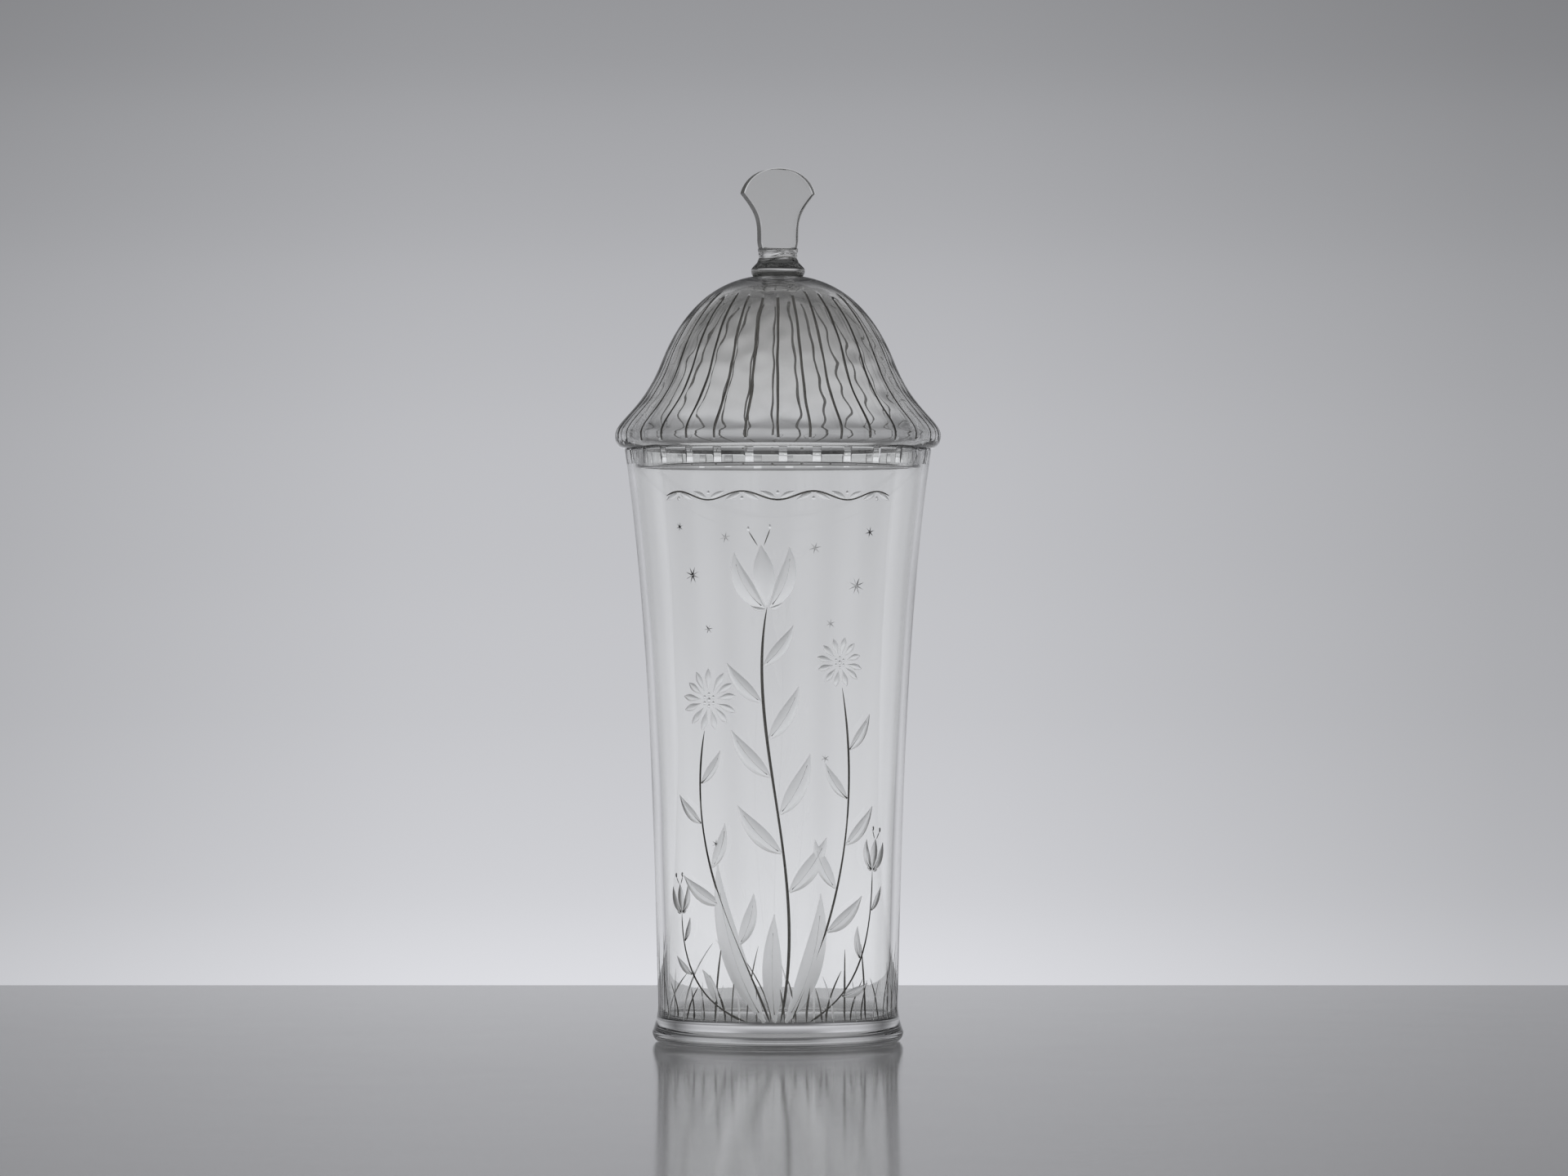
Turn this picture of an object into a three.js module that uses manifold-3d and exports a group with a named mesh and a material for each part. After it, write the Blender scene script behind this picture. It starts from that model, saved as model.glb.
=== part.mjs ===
// A covered vase of clear blown glass: a tall jar that flares to a notched rim, on a low round foot,
// and a bell-shaped cover with 32 cut flutes, a collar that drops inside the rim, and a paddle finial.
// Millimetres, +Z up. The origin is the centre of the foot's underside, and -Y is the front.
import * as THREE from 'three';
import { mergeVertices, toCreasedNormals } from 'three/addons/utils/BufferGeometryUtils.js';
import Module from 'manifold-3d';

// Foot: a disc with a rounded lower edge, hollowed a little underneath so that it stands on a ring.
const FOOT_RADIUS = 47.5;
const FOOT_THICKNESS = 3.75;
const FOOT_EDGE_ROUND = 2.3;
const FOOT_RING_WIDTH = 8;
const FOOT_HOLLOW = 0.75;

// Body of the vase. A slope is the growth of the radius for each millimetre of height.
const VASE_HEIGHT = 223.75;
const WAIST_RADIUS = 45.3;
const WAIST_HEIGHT = 14;
const RIM_RADIUS = 58;
const WALL_SLOPE_LOW = 0.028;
const WALL_SLOPE_RIM = 0.142;
const WALL_LOW = 3.6;
const WALL_RIM = 2.5;
const FLOOR_THICKNESS = 5.25;
const FLOOR_FILLET = 1.5;

// Shallow flat notches, cut by the wheel round the outside of the rim.
const NOTCH_COUNT = 29;
const NOTCH_WIDTH = 3.2;
const NOTCH_HEIGHT = 5.8;
const NOTCH_DEPTH = 0.6;
const NOTCH_TURN = THREE.MathUtils.degToRad(2.1);

// Cover: heights are measured up from the seat, where it rests on the rim.
const COVER_HEIGHT = 65.25;
const COVER_WALL = 3;
const LIP_OVERHANG = 3.7;
const LIP_HEIGHT = 5;
const LEDGE_HEIGHT = 1.8;
const LEDGE_WIDTH = 7;
const SHOULDER_RADIUS = 44.7;
const SHOULDER_HEIGHT = 31.4;
const SHOULDER_SLOPE = 0.4;
const LAND_RADIUS = 9.6;
const LAND_SLOPE = 0.16;

// How far each end of the two bell curves pulls the curve its way, as a share of the curve's height.
const FLARE_LIP_PULL = 0.21;
const FLARE_SHOULDER_PULL = 0.63;
const DOME_SHOULDER_PULL = 0.22;
const DOME_LAND_PULL = 0.69;

// Flutes cut down the cover, with heights measured up from the seat.
const FLUTE_COUNT = 32;
const FLUTE_WIDTH = 1.3;
const FLUTE_DEPTH = 0.5;
const FLUTE_TOP = 58;
const FLUTE_FOOT = 2.5;
const FLUTE_TAPER = 4;

// Collar: the ring under the cover that keeps it centred inside the rim.
const COLLAR_DEPTH = 7.25;
const COLLAR_WALL = 2.6;
const COLLAR_CLEARANCE = 0.6;

// Finial: a round ring of glass on the cover, then a neck that flattens into a paddle.
const RING_RADIUS = 10.2;
const RING_HEIGHT = 5.5;
const RING_WIDEST_HEIGHT = 2.2;
const NECK_RADIUS = 7.4;
const NECK_HEIGHT = 6;
const NECK_SWELL = 0.5;
const NECK_SHOULDER = 2.4;
const PADDLE_HEIGHT = 35.5;
const PADDLE_THICKNESS = 6.8;
const PADDLE_STEM_WIDTH = 14.6;
const PADDLE_STEM_HEIGHT = 9.5;
const PADDLE_WIDTH = 27.8;
const PADDLE_CORNER_HEIGHT = 25.9;
const PADDLE_CORNER_SLOPE = 0.83;
const PADDLE_SIDE_PULL = 0.42;
const PADDLE_CROWN_PULL = 0.55;
const PADDLE_CROWN_LEAN = 0.9;
const PADDLE_BEVEL = 0.4;
const PADDLE_ROOT = 2;
const PADDLE_TURN = THREE.MathUtils.degToRad(14);

// How far a cutter reaches past what it cuts.
const CUTTER_REACH = 2;

// The pull that makes a cubic curve follow a quarter of a circle or an ellipse.
const QUARTER_PULL = 0.5523;

// Facets round each piece.
const BODY_SIDES = NOTCH_COUNT * 3;
const FOOT_SIDES = 64;
const COLLAR_SIDES = 64;
const DOME_INNER_SIDES = FLUTE_COUNT * 2;
const FINIAL_SIDES = 36;

// Clear glass, a little cool and grey, and the darker look of the finial's ring.
const clearGlass = { color: 0xe6ebeb, roughness: 0.04, metalness: 0, transparent: true, opacity: 0.35 };
const thickGlass = { color: 0xbfc4c5, roughness: 0.05, metalness: 0, transparent: true, opacity: 0.5 };

const wasm = await Module();
wasm.setup();

const at = (radius, height) => new THREE.Vector2(radius, height);

// The points of a run of curves, each with its own number of steps, without doubled corners.
function trace(...runs) {
  const points = [];
  for (const [curve, steps] of runs) {
    for (const point of curve.getPoints(steps)) {
      const last = points[points.length - 1];
      if (!last || last.distanceTo(point) > 1e-6) points.push(point);
    }
  }
  return points;
}

const straight = (from, to) => [new THREE.LineCurve(from, to), 1];
const bow = (from, pullFrom, pullTo, to, steps) => [
  new THREE.CubicBezierCurve(from, pullFrom, pullTo, to),
  steps,
];

// A quarter turn of an ellipse from one point to the other, round the corner between them.
function quarter(from, corner, to, steps) {
  const pullFrom = from.clone().lerp(corner, QUARTER_PULL);
  const pullTo = to.clone().lerp(corner, QUARTER_PULL);
  return bow(from, pullFrom, pullTo, to, steps);
}

// Revolves an outline of radii and heights about Z. It runs from the axis, out and up, to the axis.
function revolve(outline, sides) {
  return new THREE.LatheGeometry(outline, sides).rotateX(Math.PI / 2);
}

// The radius of a curve at a height, found by halving, because the curve climbs all the way.
function radiusAt(curve, height) {
  let low = 0;
  let high = 1;
  for (let i = 0; i < 40; i++) {
    const middle = (low + high) / 2;
    if (curve.getPoint(middle).y < height) low = middle;
    else high = middle;
  }
  return curve.getPoint(low).x;
}

// A geometry as a closed solid that can be cut and joined.
function solid(geometry) {
  const bare = new THREE.BufferGeometry();
  bare.setAttribute('position', geometry.getAttribute('position'));
  if (geometry.index) bare.setIndex(geometry.index);
  const merged = mergeVertices(bare, 1e-4);
  const vertProperties = merged.attributes.position.array;
  const triVerts = new Uint32Array(merged.index.array);
  return new wasm.Manifold(new wasm.Mesh({ numProp: 3, vertProperties, triVerts }));
}

// A cut solid as a geometry again.
function geometryOf(made) {
  const mesh = made.getMesh();
  const geometry = new THREE.BufferGeometry();
  geometry.setAttribute('position', new THREE.BufferAttribute(mesh.vertProperties, 3));
  geometry.setIndex(new THREE.BufferAttribute(mesh.triVerts, 1));
  return geometry;
}

// A named piece of glass, with soft shading over the facets of a curve.
function piece(name, geometry, glass) {
  const bare = geometry.index ? geometry.toNonIndexed() : geometry;
  const mesh = new THREE.Mesh(toCreasedNormals(bare, 0.5), new THREE.MeshStandardMaterial(glass));
  mesh.name = name;
  return mesh;
}

function foot() {
  const ringInner = FOOT_RADIUS - FOOT_EDGE_ROUND - FOOT_RING_WIDTH;
  const outline = trace(
    straight(at(0, FOOT_HOLLOW), at(ringInner - FOOT_HOLLOW, FOOT_HOLLOW)),
    straight(at(ringInner - FOOT_HOLLOW, FOOT_HOLLOW), at(ringInner, 0)),
    straight(at(ringInner, 0), at(FOOT_RADIUS - FOOT_EDGE_ROUND, 0)),
    quarter(at(FOOT_RADIUS - FOOT_EDGE_ROUND, 0), at(FOOT_RADIUS, 0), at(FOOT_RADIUS, FOOT_THICKNESS), 4),
    straight(at(FOOT_RADIUS, FOOT_THICKNESS), at(0, FOOT_THICKNESS)),
  );
  return piece('foot', revolve(outline, FOOT_SIDES), clearGlass);
}

// The upright curve from the waist to the rim, for the outside or, a wall's thickness in, the inside.
function wallCurve(wallLow, wallRim, fromHeight) {
  const pull = (VASE_HEIGHT - fromHeight) / 3;
  const low = at(WAIST_RADIUS - wallLow, fromHeight);
  const rim = at(RIM_RADIUS - wallRim, VASE_HEIGHT);
  return new THREE.CubicBezierCurve(
    low,
    at(low.x + WALL_SLOPE_LOW * pull, low.y + pull),
    at(rim.x - WALL_SLOPE_RIM * pull, rim.y - pull),
    rim,
  );
}

const outerWall = wallCurve(0, 0, WAIST_HEIGHT);
const innerWall = wallCurve(WALL_LOW, WALL_RIM, WAIST_HEIGHT);
const floorHeight = FOOT_THICKNESS + FLOOR_THICKNESS;

// One notch cutter: a block whose inner face lies in the wall and leans with it.
function notchCutter(index) {
  const bottom = VASE_HEIGHT - NOTCH_HEIGHT;
  const lowRadius = radiusAt(outerWall, bottom);
  const lean = Math.atan2(RIM_RADIUS - lowRadius, NOTCH_HEIGHT);
  const reach = NOTCH_DEPTH + CUTTER_REACH;
  const height = NOTCH_HEIGHT + CUTTER_REACH;
  const block = new THREE.BoxGeometry(reach, NOTCH_WIDTH, height);
  block.translate(reach / 2 - NOTCH_DEPTH, 0, height / 2);
  block.rotateY(lean);
  block.translate(lowRadius, 0, bottom);
  block.rotateZ(NOTCH_TURN - Math.PI / 2 + (index * 2 * Math.PI) / NOTCH_COUNT);
  return solid(block);
}

function vaseBody() {
  const footTop = at(FOOT_RADIUS, FOOT_THICKNESS);
  const waist = at(WAIST_RADIUS, WAIST_HEIGHT);
  const sweep = (WAIST_HEIGHT - FOOT_THICKNESS) / 2;
  const sweepCorner = at(waist.x - WALL_SLOPE_LOW * sweep, waist.y - sweep);
  const innerRadius = WAIST_RADIUS - WALL_LOW;
  const innerLow = innerWall.getPoint(0);
  const filletTop = at(innerRadius, floorHeight + FLOOR_FILLET);
  const filletEnd = at(innerRadius - FLOOR_FILLET, floorHeight);
  const innerDown = new THREE.CubicBezierCurve(innerWall.v3, innerWall.v2, innerWall.v1, innerWall.v0);
  const outline = trace(
    straight(at(0, FOOT_THICKNESS), footTop),
    quarter(footTop, sweepCorner, waist, 4),
    [outerWall, 8],
    straight(outerWall.v3, innerWall.v3),
    [innerDown, 7],
    straight(innerLow, filletTop),
    quarter(filletTop, at(innerRadius, floorHeight), filletEnd, 2),
    straight(filletEnd, at(0, floorHeight)),
  );
  let body = solid(revolve(outline, BODY_SIDES));
  for (let i = 0; i < NOTCH_COUNT; i++) {
    body = body.subtract(notchCutter(i));
  }
  return piece('vase_body', geometryOf(body), clearGlass);
}

// The bell of the cover above its lip, as two curves that meet smoothly at the shoulder.
const lipEdge = at(RIM_RADIUS + LIP_OVERHANG, LIP_HEIGHT);
const shoulder = at(SHOULDER_RADIUS, SHOULDER_HEIGHT);
const land = at(LAND_RADIUS, COVER_HEIGHT);
const flareRise = SHOULDER_HEIGHT - LIP_HEIGHT;
const domeRise = COVER_HEIGHT - SHOULDER_HEIGHT;
const flareCurve = new THREE.CubicBezierCurve(
  lipEdge,
  at(lipEdge.x, lipEdge.y + FLARE_LIP_PULL * flareRise),
  at(
    shoulder.x + SHOULDER_SLOPE * FLARE_SHOULDER_PULL * flareRise,
    shoulder.y - FLARE_SHOULDER_PULL * flareRise,
  ),
  shoulder,
);
const domeCurve = new THREE.CubicBezierCurve(
  shoulder,
  at(
    shoulder.x - SHOULDER_SLOPE * DOME_SHOULDER_PULL * domeRise,
    shoulder.y + DOME_SHOULDER_PULL * domeRise,
  ),
  at(land.x + DOME_LAND_PULL * domeRise, land.y - LAND_SLOPE * DOME_LAND_PULL * domeRise),
  land,
);

// How deep the flutes are at a height: full depth between their ends, where they run out.
function fluteShare(height) {
  const fromFoot = (height - FLUTE_FOOT) / FLUTE_TAPER;
  const fromTop = (FLUTE_TOP - height) / FLUTE_TAPER;
  return THREE.MathUtils.clamp(Math.min(fromFoot, fromTop), 0, 1);
}

// Revolves the cover's outline with its flutes: each one has two edges, a bottom, and a land beside it.
function fluted(outline) {
  const pitch = (2 * Math.PI) / FLUTE_COUNT;
  const columns = FLUTE_COUNT * 4;
  const positions = [];
  outline.forEach((point, row) => {
    const before = outline[Math.max(row - 1, 0)];
    const after = outline[Math.min(row + 1, outline.length - 1)];
    const inward = at(before.y - after.y, after.x - before.x).normalize();
    const share = fluteShare(point.y);
    const half = Math.min(FLUTE_WIDTH / 2 / Math.max(point.x, 1), pitch / 4);
    for (let i = 0; i < FLUTE_COUNT; i++) {
      for (const [turn, depth] of [[-half, 0], [0, share * FLUTE_DEPTH], [half, 0], [pitch / 2, 0]]) {
        const angle = i * pitch + turn - Math.PI / 2;
        const radius = point.x + inward.x * depth;
        positions.push(radius * Math.cos(angle), radius * Math.sin(angle), point.y + inward.y * depth);
      }
    }
  });
  const index = [];
  for (let row = 0; row < outline.length - 1; row++) {
    for (let i = 0; i < columns; i++) {
      const a = row * columns + i;
      const b = row * columns + ((i + 1) % columns);
      index.push(a, b, b + columns, a, b + columns, a + columns);
    }
  }
  const geometry = new THREE.BufferGeometry();
  geometry.setAttribute('position', new THREE.Float32BufferAttribute(positions, 3));
  geometry.setIndex(index);
  return geometry;
}

const collarOuter = radiusAt(innerWall, VASE_HEIGHT - COLLAR_DEPTH) - COLLAR_CLEARANCE;
const collarInner = collarOuter - COLLAR_WALL;

// The outside of the bell moved in by the wall's thickness, from the ledge up to the axis.
function bellInside() {
  const outside = trace([flareCurve, 7], [domeCurve, 8]);
  const moved = outside.slice(1, -1).map((point, i) => {
    const along = outside[i + 2].clone().sub(outside[i]).normalize();
    return at(point.x - along.y * COVER_WALL, point.y + along.x * COVER_WALL);
  });
  const ledge = at(collarInner + LEDGE_WIDTH, LEDGE_HEIGHT);
  const inside = moved.filter((point) => point.y > ledge.y && point.x < ledge.x);
  return [ledge, ...inside, at(0, COVER_HEIGHT - COVER_WALL)];
}

function coverDome() {
  const seatEdge = at(RIM_RADIUS, 0);
  const outside = trace(
    straight(at(0, 0), seatEdge),
    quarter(seatEdge, at(lipEdge.x, 0), lipEdge, 3),
    [flareCurve, 6],
    [domeCurve, 9],
    straight(land, at(0, COVER_HEIGHT)),
  );
  const bell = solid(fluted(outside));
  const hollow = solid(revolve([
    at(0, -CUTTER_REACH),
    at(collarInner, -CUTTER_REACH),
    at(collarInner, LEDGE_HEIGHT),
    ...bellInside(),
  ], DOME_INNER_SIDES));
  return piece('cover_dome', geometryOf(bell.subtract(hollow)), clearGlass);
}

function coverCollar() {
  const outline = [
    at(collarInner, -COLLAR_DEPTH),
    at(collarOuter, -COLLAR_DEPTH),
    at(collarOuter, 0),
    at(collarInner, 0),
    at(collarInner, -COLLAR_DEPTH),
  ];
  return piece('cover_collar', revolve(outline, COLLAR_SIDES), clearGlass);
}

function finialMerese() {
  const widest = at(RING_RADIUS, RING_WIDEST_HEIGHT);
  const neckFoot = at(NECK_RADIUS, RING_HEIGHT);
  const middle = (RING_WIDEST_HEIGHT + RING_HEIGHT) / 2;
  const outline = trace(
    straight(at(0, 0), at(LAND_RADIUS, 0)),
    quarter(at(LAND_RADIUS, 0), at(RING_RADIUS, 0), widest, 3),
    bow(widest, at(RING_RADIUS, middle), at(NECK_RADIUS, middle), neckFoot, 6),
    straight(at(NECK_RADIUS, RING_HEIGHT), at(0, RING_HEIGHT)),
  );
  return piece('finial_merese', revolve(outline, FINIAL_SIDES), thickGlass);
}

// The paddle seen from the front: a straight stem that opens to two sharp corners under a round top.
function paddleShape() {
  const stem = PADDLE_STEM_WIDTH / 2 - PADDLE_BEVEL;
  const corner = PADDLE_WIDTH / 2 - PADDLE_BEVEL;
  const top = PADDLE_HEIGHT - PADDLE_BEVEL;
  const opening = PADDLE_CORNER_HEIGHT - PADDLE_STEM_HEIGHT;
  const crown = top - PADDLE_CORNER_HEIGHT;
  const pull = PADDLE_SIDE_PULL * opening;
  const sidePull = (side) => [side * stem, PADDLE_STEM_HEIGHT + pull];
  const cornerPull = (side) => [side * (corner - PADDLE_CORNER_SLOPE * pull), PADDLE_CORNER_HEIGHT - pull];
  const crownPull = (side) => [
    side * corner * PADDLE_CROWN_LEAN,
    PADDLE_CORNER_HEIGHT + crown * PADDLE_CROWN_PULL,
  ];
  const shape = new THREE.Shape();
  shape.moveTo(-stem, PADDLE_ROOT);
  shape.lineTo(stem, PADDLE_ROOT);
  shape.lineTo(stem, PADDLE_STEM_HEIGHT);
  shape.bezierCurveTo(...sidePull(1), ...cornerPull(1), corner, PADDLE_CORNER_HEIGHT);
  shape.bezierCurveTo(...crownPull(1), corner * PADDLE_CROWN_PULL, top, 0, top);
  shape.bezierCurveTo(-corner * PADDLE_CROWN_PULL, top, ...crownPull(-1), -corner, PADDLE_CORNER_HEIGHT);
  shape.bezierCurveTo(...cornerPull(-1), ...sidePull(-1), -stem, PADDLE_STEM_HEIGHT);
  return shape;
}

function finialPaddle() {
  const slab = new THREE.ExtrudeGeometry(paddleShape(), {
    depth: PADDLE_THICKNESS - 2 * PADDLE_BEVEL,
    bevelThickness: PADDLE_BEVEL,
    bevelSize: PADDLE_BEVEL,
    bevelSegments: 1,
    curveSegments: 10,
  });
  slab.translate(0, 0, PADDLE_BEVEL - PADDLE_THICKNESS / 2);
  slab.rotateX(Math.PI / 2);
  const swell = NECK_RADIUS + NECK_SWELL;
  const shoulderFoot = NECK_HEIGHT - NECK_SHOULDER;
  const neck = revolve(trace(
    straight(at(0, 0), at(NECK_RADIUS, 0)),
    bow(at(NECK_RADIUS, 0), at(NECK_RADIUS, shoulderFoot / 2), at(swell, shoulderFoot / 2),
      at(swell, shoulderFoot), 4),
    quarter(at(swell, shoulderFoot), at(swell, NECK_HEIGHT), at(swell - NECK_SHOULDER, NECK_HEIGHT), 4),
    straight(at(swell - NECK_SHOULDER, NECK_HEIGHT), at(0, NECK_HEIGHT)),
  ), FINIAL_SIDES);
  return piece('finial_paddle', geometryOf(solid(slab).add(solid(neck))), clearGlass);
}

const vase = new THREE.Group();
vase.add(foot(), vaseBody());

const merese = finialMerese();
merese.position.z = COVER_HEIGHT;

const paddle = finialPaddle();
paddle.position.z = COVER_HEIGHT + RING_HEIGHT;
paddle.rotation.z = PADDLE_TURN;

const cover = new THREE.Group();
cover.add(coverDome(), coverCollar(), merese, paddle);
cover.position.z = VASE_HEIGHT;

const group = new THREE.Group();
group.add(vase, cover);

export default group;
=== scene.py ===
"""A covered vase of clear glass: a flaring jar on a low foot, and a bell-shaped cover with cut flutes.

The vase and the cover are each one piece of fused glass. Lengths are in metres and angles in radians,
+Z is up, and the front faces -Y. Plants, grass and stars are cut into the wall of the vase.
"""

import math
from typing import NamedTuple

import bpy
import numpy as np
from bpy.props import FloatProperty, FloatVectorProperty, IntProperty
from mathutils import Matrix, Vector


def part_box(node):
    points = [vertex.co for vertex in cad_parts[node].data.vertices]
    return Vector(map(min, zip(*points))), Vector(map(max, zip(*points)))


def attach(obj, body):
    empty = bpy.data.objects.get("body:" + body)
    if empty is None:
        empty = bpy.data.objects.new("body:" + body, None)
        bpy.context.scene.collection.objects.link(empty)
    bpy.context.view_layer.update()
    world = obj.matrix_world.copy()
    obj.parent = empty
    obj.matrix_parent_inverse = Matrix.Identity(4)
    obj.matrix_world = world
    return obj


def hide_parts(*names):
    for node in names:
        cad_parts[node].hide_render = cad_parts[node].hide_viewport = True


bl_info = {
    "name": "Covered glass vase",
    "version": (1, 0, 0),
    "blender": (4, 5, 0),
    "location": "View3D > Sidebar > Covered vase",
    "description": "Builds a covered vase of clear cut glass on a studio table",
    "category": "Object",
}

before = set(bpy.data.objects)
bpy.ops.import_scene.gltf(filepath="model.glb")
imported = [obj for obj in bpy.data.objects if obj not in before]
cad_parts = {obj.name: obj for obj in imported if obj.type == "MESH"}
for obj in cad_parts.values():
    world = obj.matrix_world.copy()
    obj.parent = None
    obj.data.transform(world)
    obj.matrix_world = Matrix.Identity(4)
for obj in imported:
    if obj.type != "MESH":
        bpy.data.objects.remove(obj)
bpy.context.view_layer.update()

BODY_LOW, BODY_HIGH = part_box("vase_body")
FOOT_LOW, FOOT_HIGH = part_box("foot")
DOME_LOW, DOME_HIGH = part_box("cover_dome")
COLLAR_LOW, COLLAR_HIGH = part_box("cover_collar")
RING_LOW, RING_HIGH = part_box("finial_merese")
PADDLE_LOW, PADDLE_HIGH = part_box("finial_paddle")

TURN = 2 * math.pi
# The air between the cover and the rim it rests on, half of it on each side, and under the foot.
SEAT_GAP = 0.00006
# The share of the light that a surface of the glass lets through to what it shades.
SHADOW_PASS = 0.9
# The pull that makes a cubic curve follow a quarter of a circle or an ellipse.
QUARTER_PULL = 0.5523


class Finish(NamedTuple):
    """How one kind of glass surface looks. Its tint is named after a colour of the glass; the flute and
    paddle side colours are painted shade.
    """

    name: str
    tint: str
    tint_depth: float
    roughness: float
    roughness_depth: float
    grain: float
    ripple: float
    through: float = 1.0


# The finishes, and their numbers on both pieces of glass.
FINISHES = (
    Finish("blown_glass", "clear", 0.006, 0.0, 0.02, grain=160.0, ripple=0.000003),
    Finish("polished_cut", "clear", 0.03, 0.03, 0.05, grain=900.0, ripple=0.000003),
    Finish("matte_cut", "matte", 0.08, 0.26, 0.20, grain=1600.0, ripple=0.00002, through=0.82),
    # The ground flute finish is rough like real ground flutes, and its near-black tint and low transmission
    # are painted shade.
    Finish("ground_flute", "flute", 0.12, 0.14, 0.12, grain=900.0, ripple=0.000012, through=0.55),
    # The ground side finish is rough, and its near-black tint and very low transmission are painted shade.
    Finish("ground_side", "paddle_side", 0.12, 0.25, 0.12, grain=900.0, ripple=0.000012, through=0.1),
)
CLEAR, POLISHED, MATTE, FLUTE_PAINTED_SHADE, SIDE_PAINTED_SHADE = range(len(FINISHES))


def value_kind(kind, **settings):
    """A way to note a value that a user can change, from its default and its description."""
    return lambda default, description: (kind, {"default": default, "description": description, **settings})


length = value_kind(FloatProperty, unit="LENGTH", precision=5)
share = value_kind(FloatProperty)
turn = value_kind(FloatProperty, subtype="ANGLE")
tally = value_kind(IntProperty, min=1)
colour = value_kind(FloatVectorProperty, subtype="COLOR", size=3, min=0, max=1)


def named(group):
    """Makes the properties of a group from its notes, each with a name that comes from its field."""
    for field, (kind, settings) in group.__annotations__.items():
        group.__annotations__[field] = kind(name=field.replace("_", " ").capitalize(), **settings)
    return group


@named
class VaseSizes(bpy.types.PropertyGroup):
    """Sizes of the jar and its foot."""

    height: length(BODY_HIGH.z, "Height of the rim over the table")
    rim_radius: length(-BODY_LOW.y, "Outer radius at the rim")
    waist_radius: length(0.0453, "Outer radius at the narrowest height")
    waist_height: length(0.014, "Height of the narrowest part")
    slope_low: share(0.028, "Growth of the radius with height at the waist")
    slope_rim: share(0.142, "Growth of the radius with height at the rim")
    wall_low: length(0.0036, "Thickness of the wall at the waist")
    wall_rim: length(0.0025, "Thickness of the wall at the rim")
    rim_round: length(0.0004, "Radius of the polished edges of the rim")
    floor: length(0.0090, "Height of the inside floor over the table")
    floor_fillet: length(0.0015, "Radius between the floor and the wall inside")
    foot_radius: length(FOOT_HIGH.x, "Largest radius of the foot")
    foot_thickness: length(FOOT_HIGH.z, "Height of the foot's widest part")
    foot_round: length(0.0023, "How far the foot's lower edge rounds in")
    foot_ring: length(0.008, "Width of the flat ring that the vase stands on")
    foot_hollow: length(0.00075, "Depth of the hollow under the foot")
    ripple: length(0.000014, "Height of the faint waves of the blown wall")
    notch_count: tally(29, "Notches cut round the rim")
    notch_width: length(0.0032, "Width of a notch")
    notch_height: length(0.0058, "Height of a notch below the rim")
    notch_depth: length(0.0006, "Depth of a notch")
    notch_turn: turn(math.radians(2.1), "Turn of the first notch")


@named
class CoverSizes(bpy.types.PropertyGroup):
    """Sizes of the bell-shaped cover. Heights are measured up from its seat."""

    height: length(DOME_HIGH.z - DOME_LOW.z, "Height of the bell over the seat")
    lip_radius: length(DOME_HIGH.x, "Largest radius, at the lip")
    lip_height: length(0.005, "Height of the lip's widest part")
    wall: length(0.003, "Thickness of the bell's wall")
    ledge_height: length(0.0018, "Height of the ledge inside the lip")
    ledge_width: length(0.0070, "Width of the ledge inside the lip")
    shoulder_radius: length(0.0447, "Radius where the flare meets the dome")
    shoulder_height: length(0.0314, "Height where the flare meets the dome")
    shoulder_slope: share(0.4, "Loss of radius with height at the shoulder")
    land_radius: length(0.0096, "Radius of the flat that the finial stands on")
    land_slope: share(0.16, "Loss of height with radius at the land")
    top_drop: length(0.0024, "How far the glass under the finial is pressed in")
    drop_radius: length(0.0105, "Radius of the glass that is pressed in")
    ripple: length(0.00004, "Height of the waves on the inside of the bell")
    flute_count: tally(32, "Flutes cut down the bell")
    flute_width: length(0.0010, "Width of a flute")
    flute_depth: length(0.0005, "Depth of a flute")
    flute_drift: turn(0.019, "How far the flutes' spacing drifts to the back")
    flute_top: length(0.0580, "Height where the flutes start")
    flute_foot: length(0.0025, "Height where the flutes end")
    flute_taper: length(0.004, "Length over which a flute runs out")


@named
class FinialSizes(bpy.types.PropertyGroup):
    """Sizes of the paddle finial and the ring of glass under it."""

    ring_radius: length(RING_HIGH.x, "Largest radius of the ring")
    ring_height: length(RING_HIGH.z - RING_LOW.z, "Height of the ring")
    ring_widest: length(0.0022, "Height of the ring's widest part")
    neck_radius: length(0.0072, "Radius of the neck where it is narrowest")
    neck_height: length(0.0054, "Height of the neck over the ring")
    neck_waist: length(0.0022, "Height over the ring where the neck is narrowest")
    fold_pitch: length(0.0019, "Height of one fold of the neck")
    fold_depth: length(0.00011, "Depth of the folds of the neck")
    fold_swing: length(0.00045, "How far the folds wander up and down")
    flat_rise: length(0.0010, "Height over which the ground flats run out into the neck")
    height: length(PADDLE_HIGH.z - PADDLE_LOW.z, "Height of the neck and paddle")
    thickness: length(0.0068, "Thickness of the flat paddle")
    stem_width: length(0.0146, "Width of the paddle at its stem")
    stem_height: length(0.0095, "Height where the paddle starts to widen")
    width: length(0.0278, "Width between the sharp corners")
    corner_height: length(0.0259, "Height of the sharp corners")
    bevel: length(0.00035, "Width of the bevel along the paddle's edges")
    paddle_turn: turn(math.radians(14), "Turn of the paddle from the front")


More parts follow.
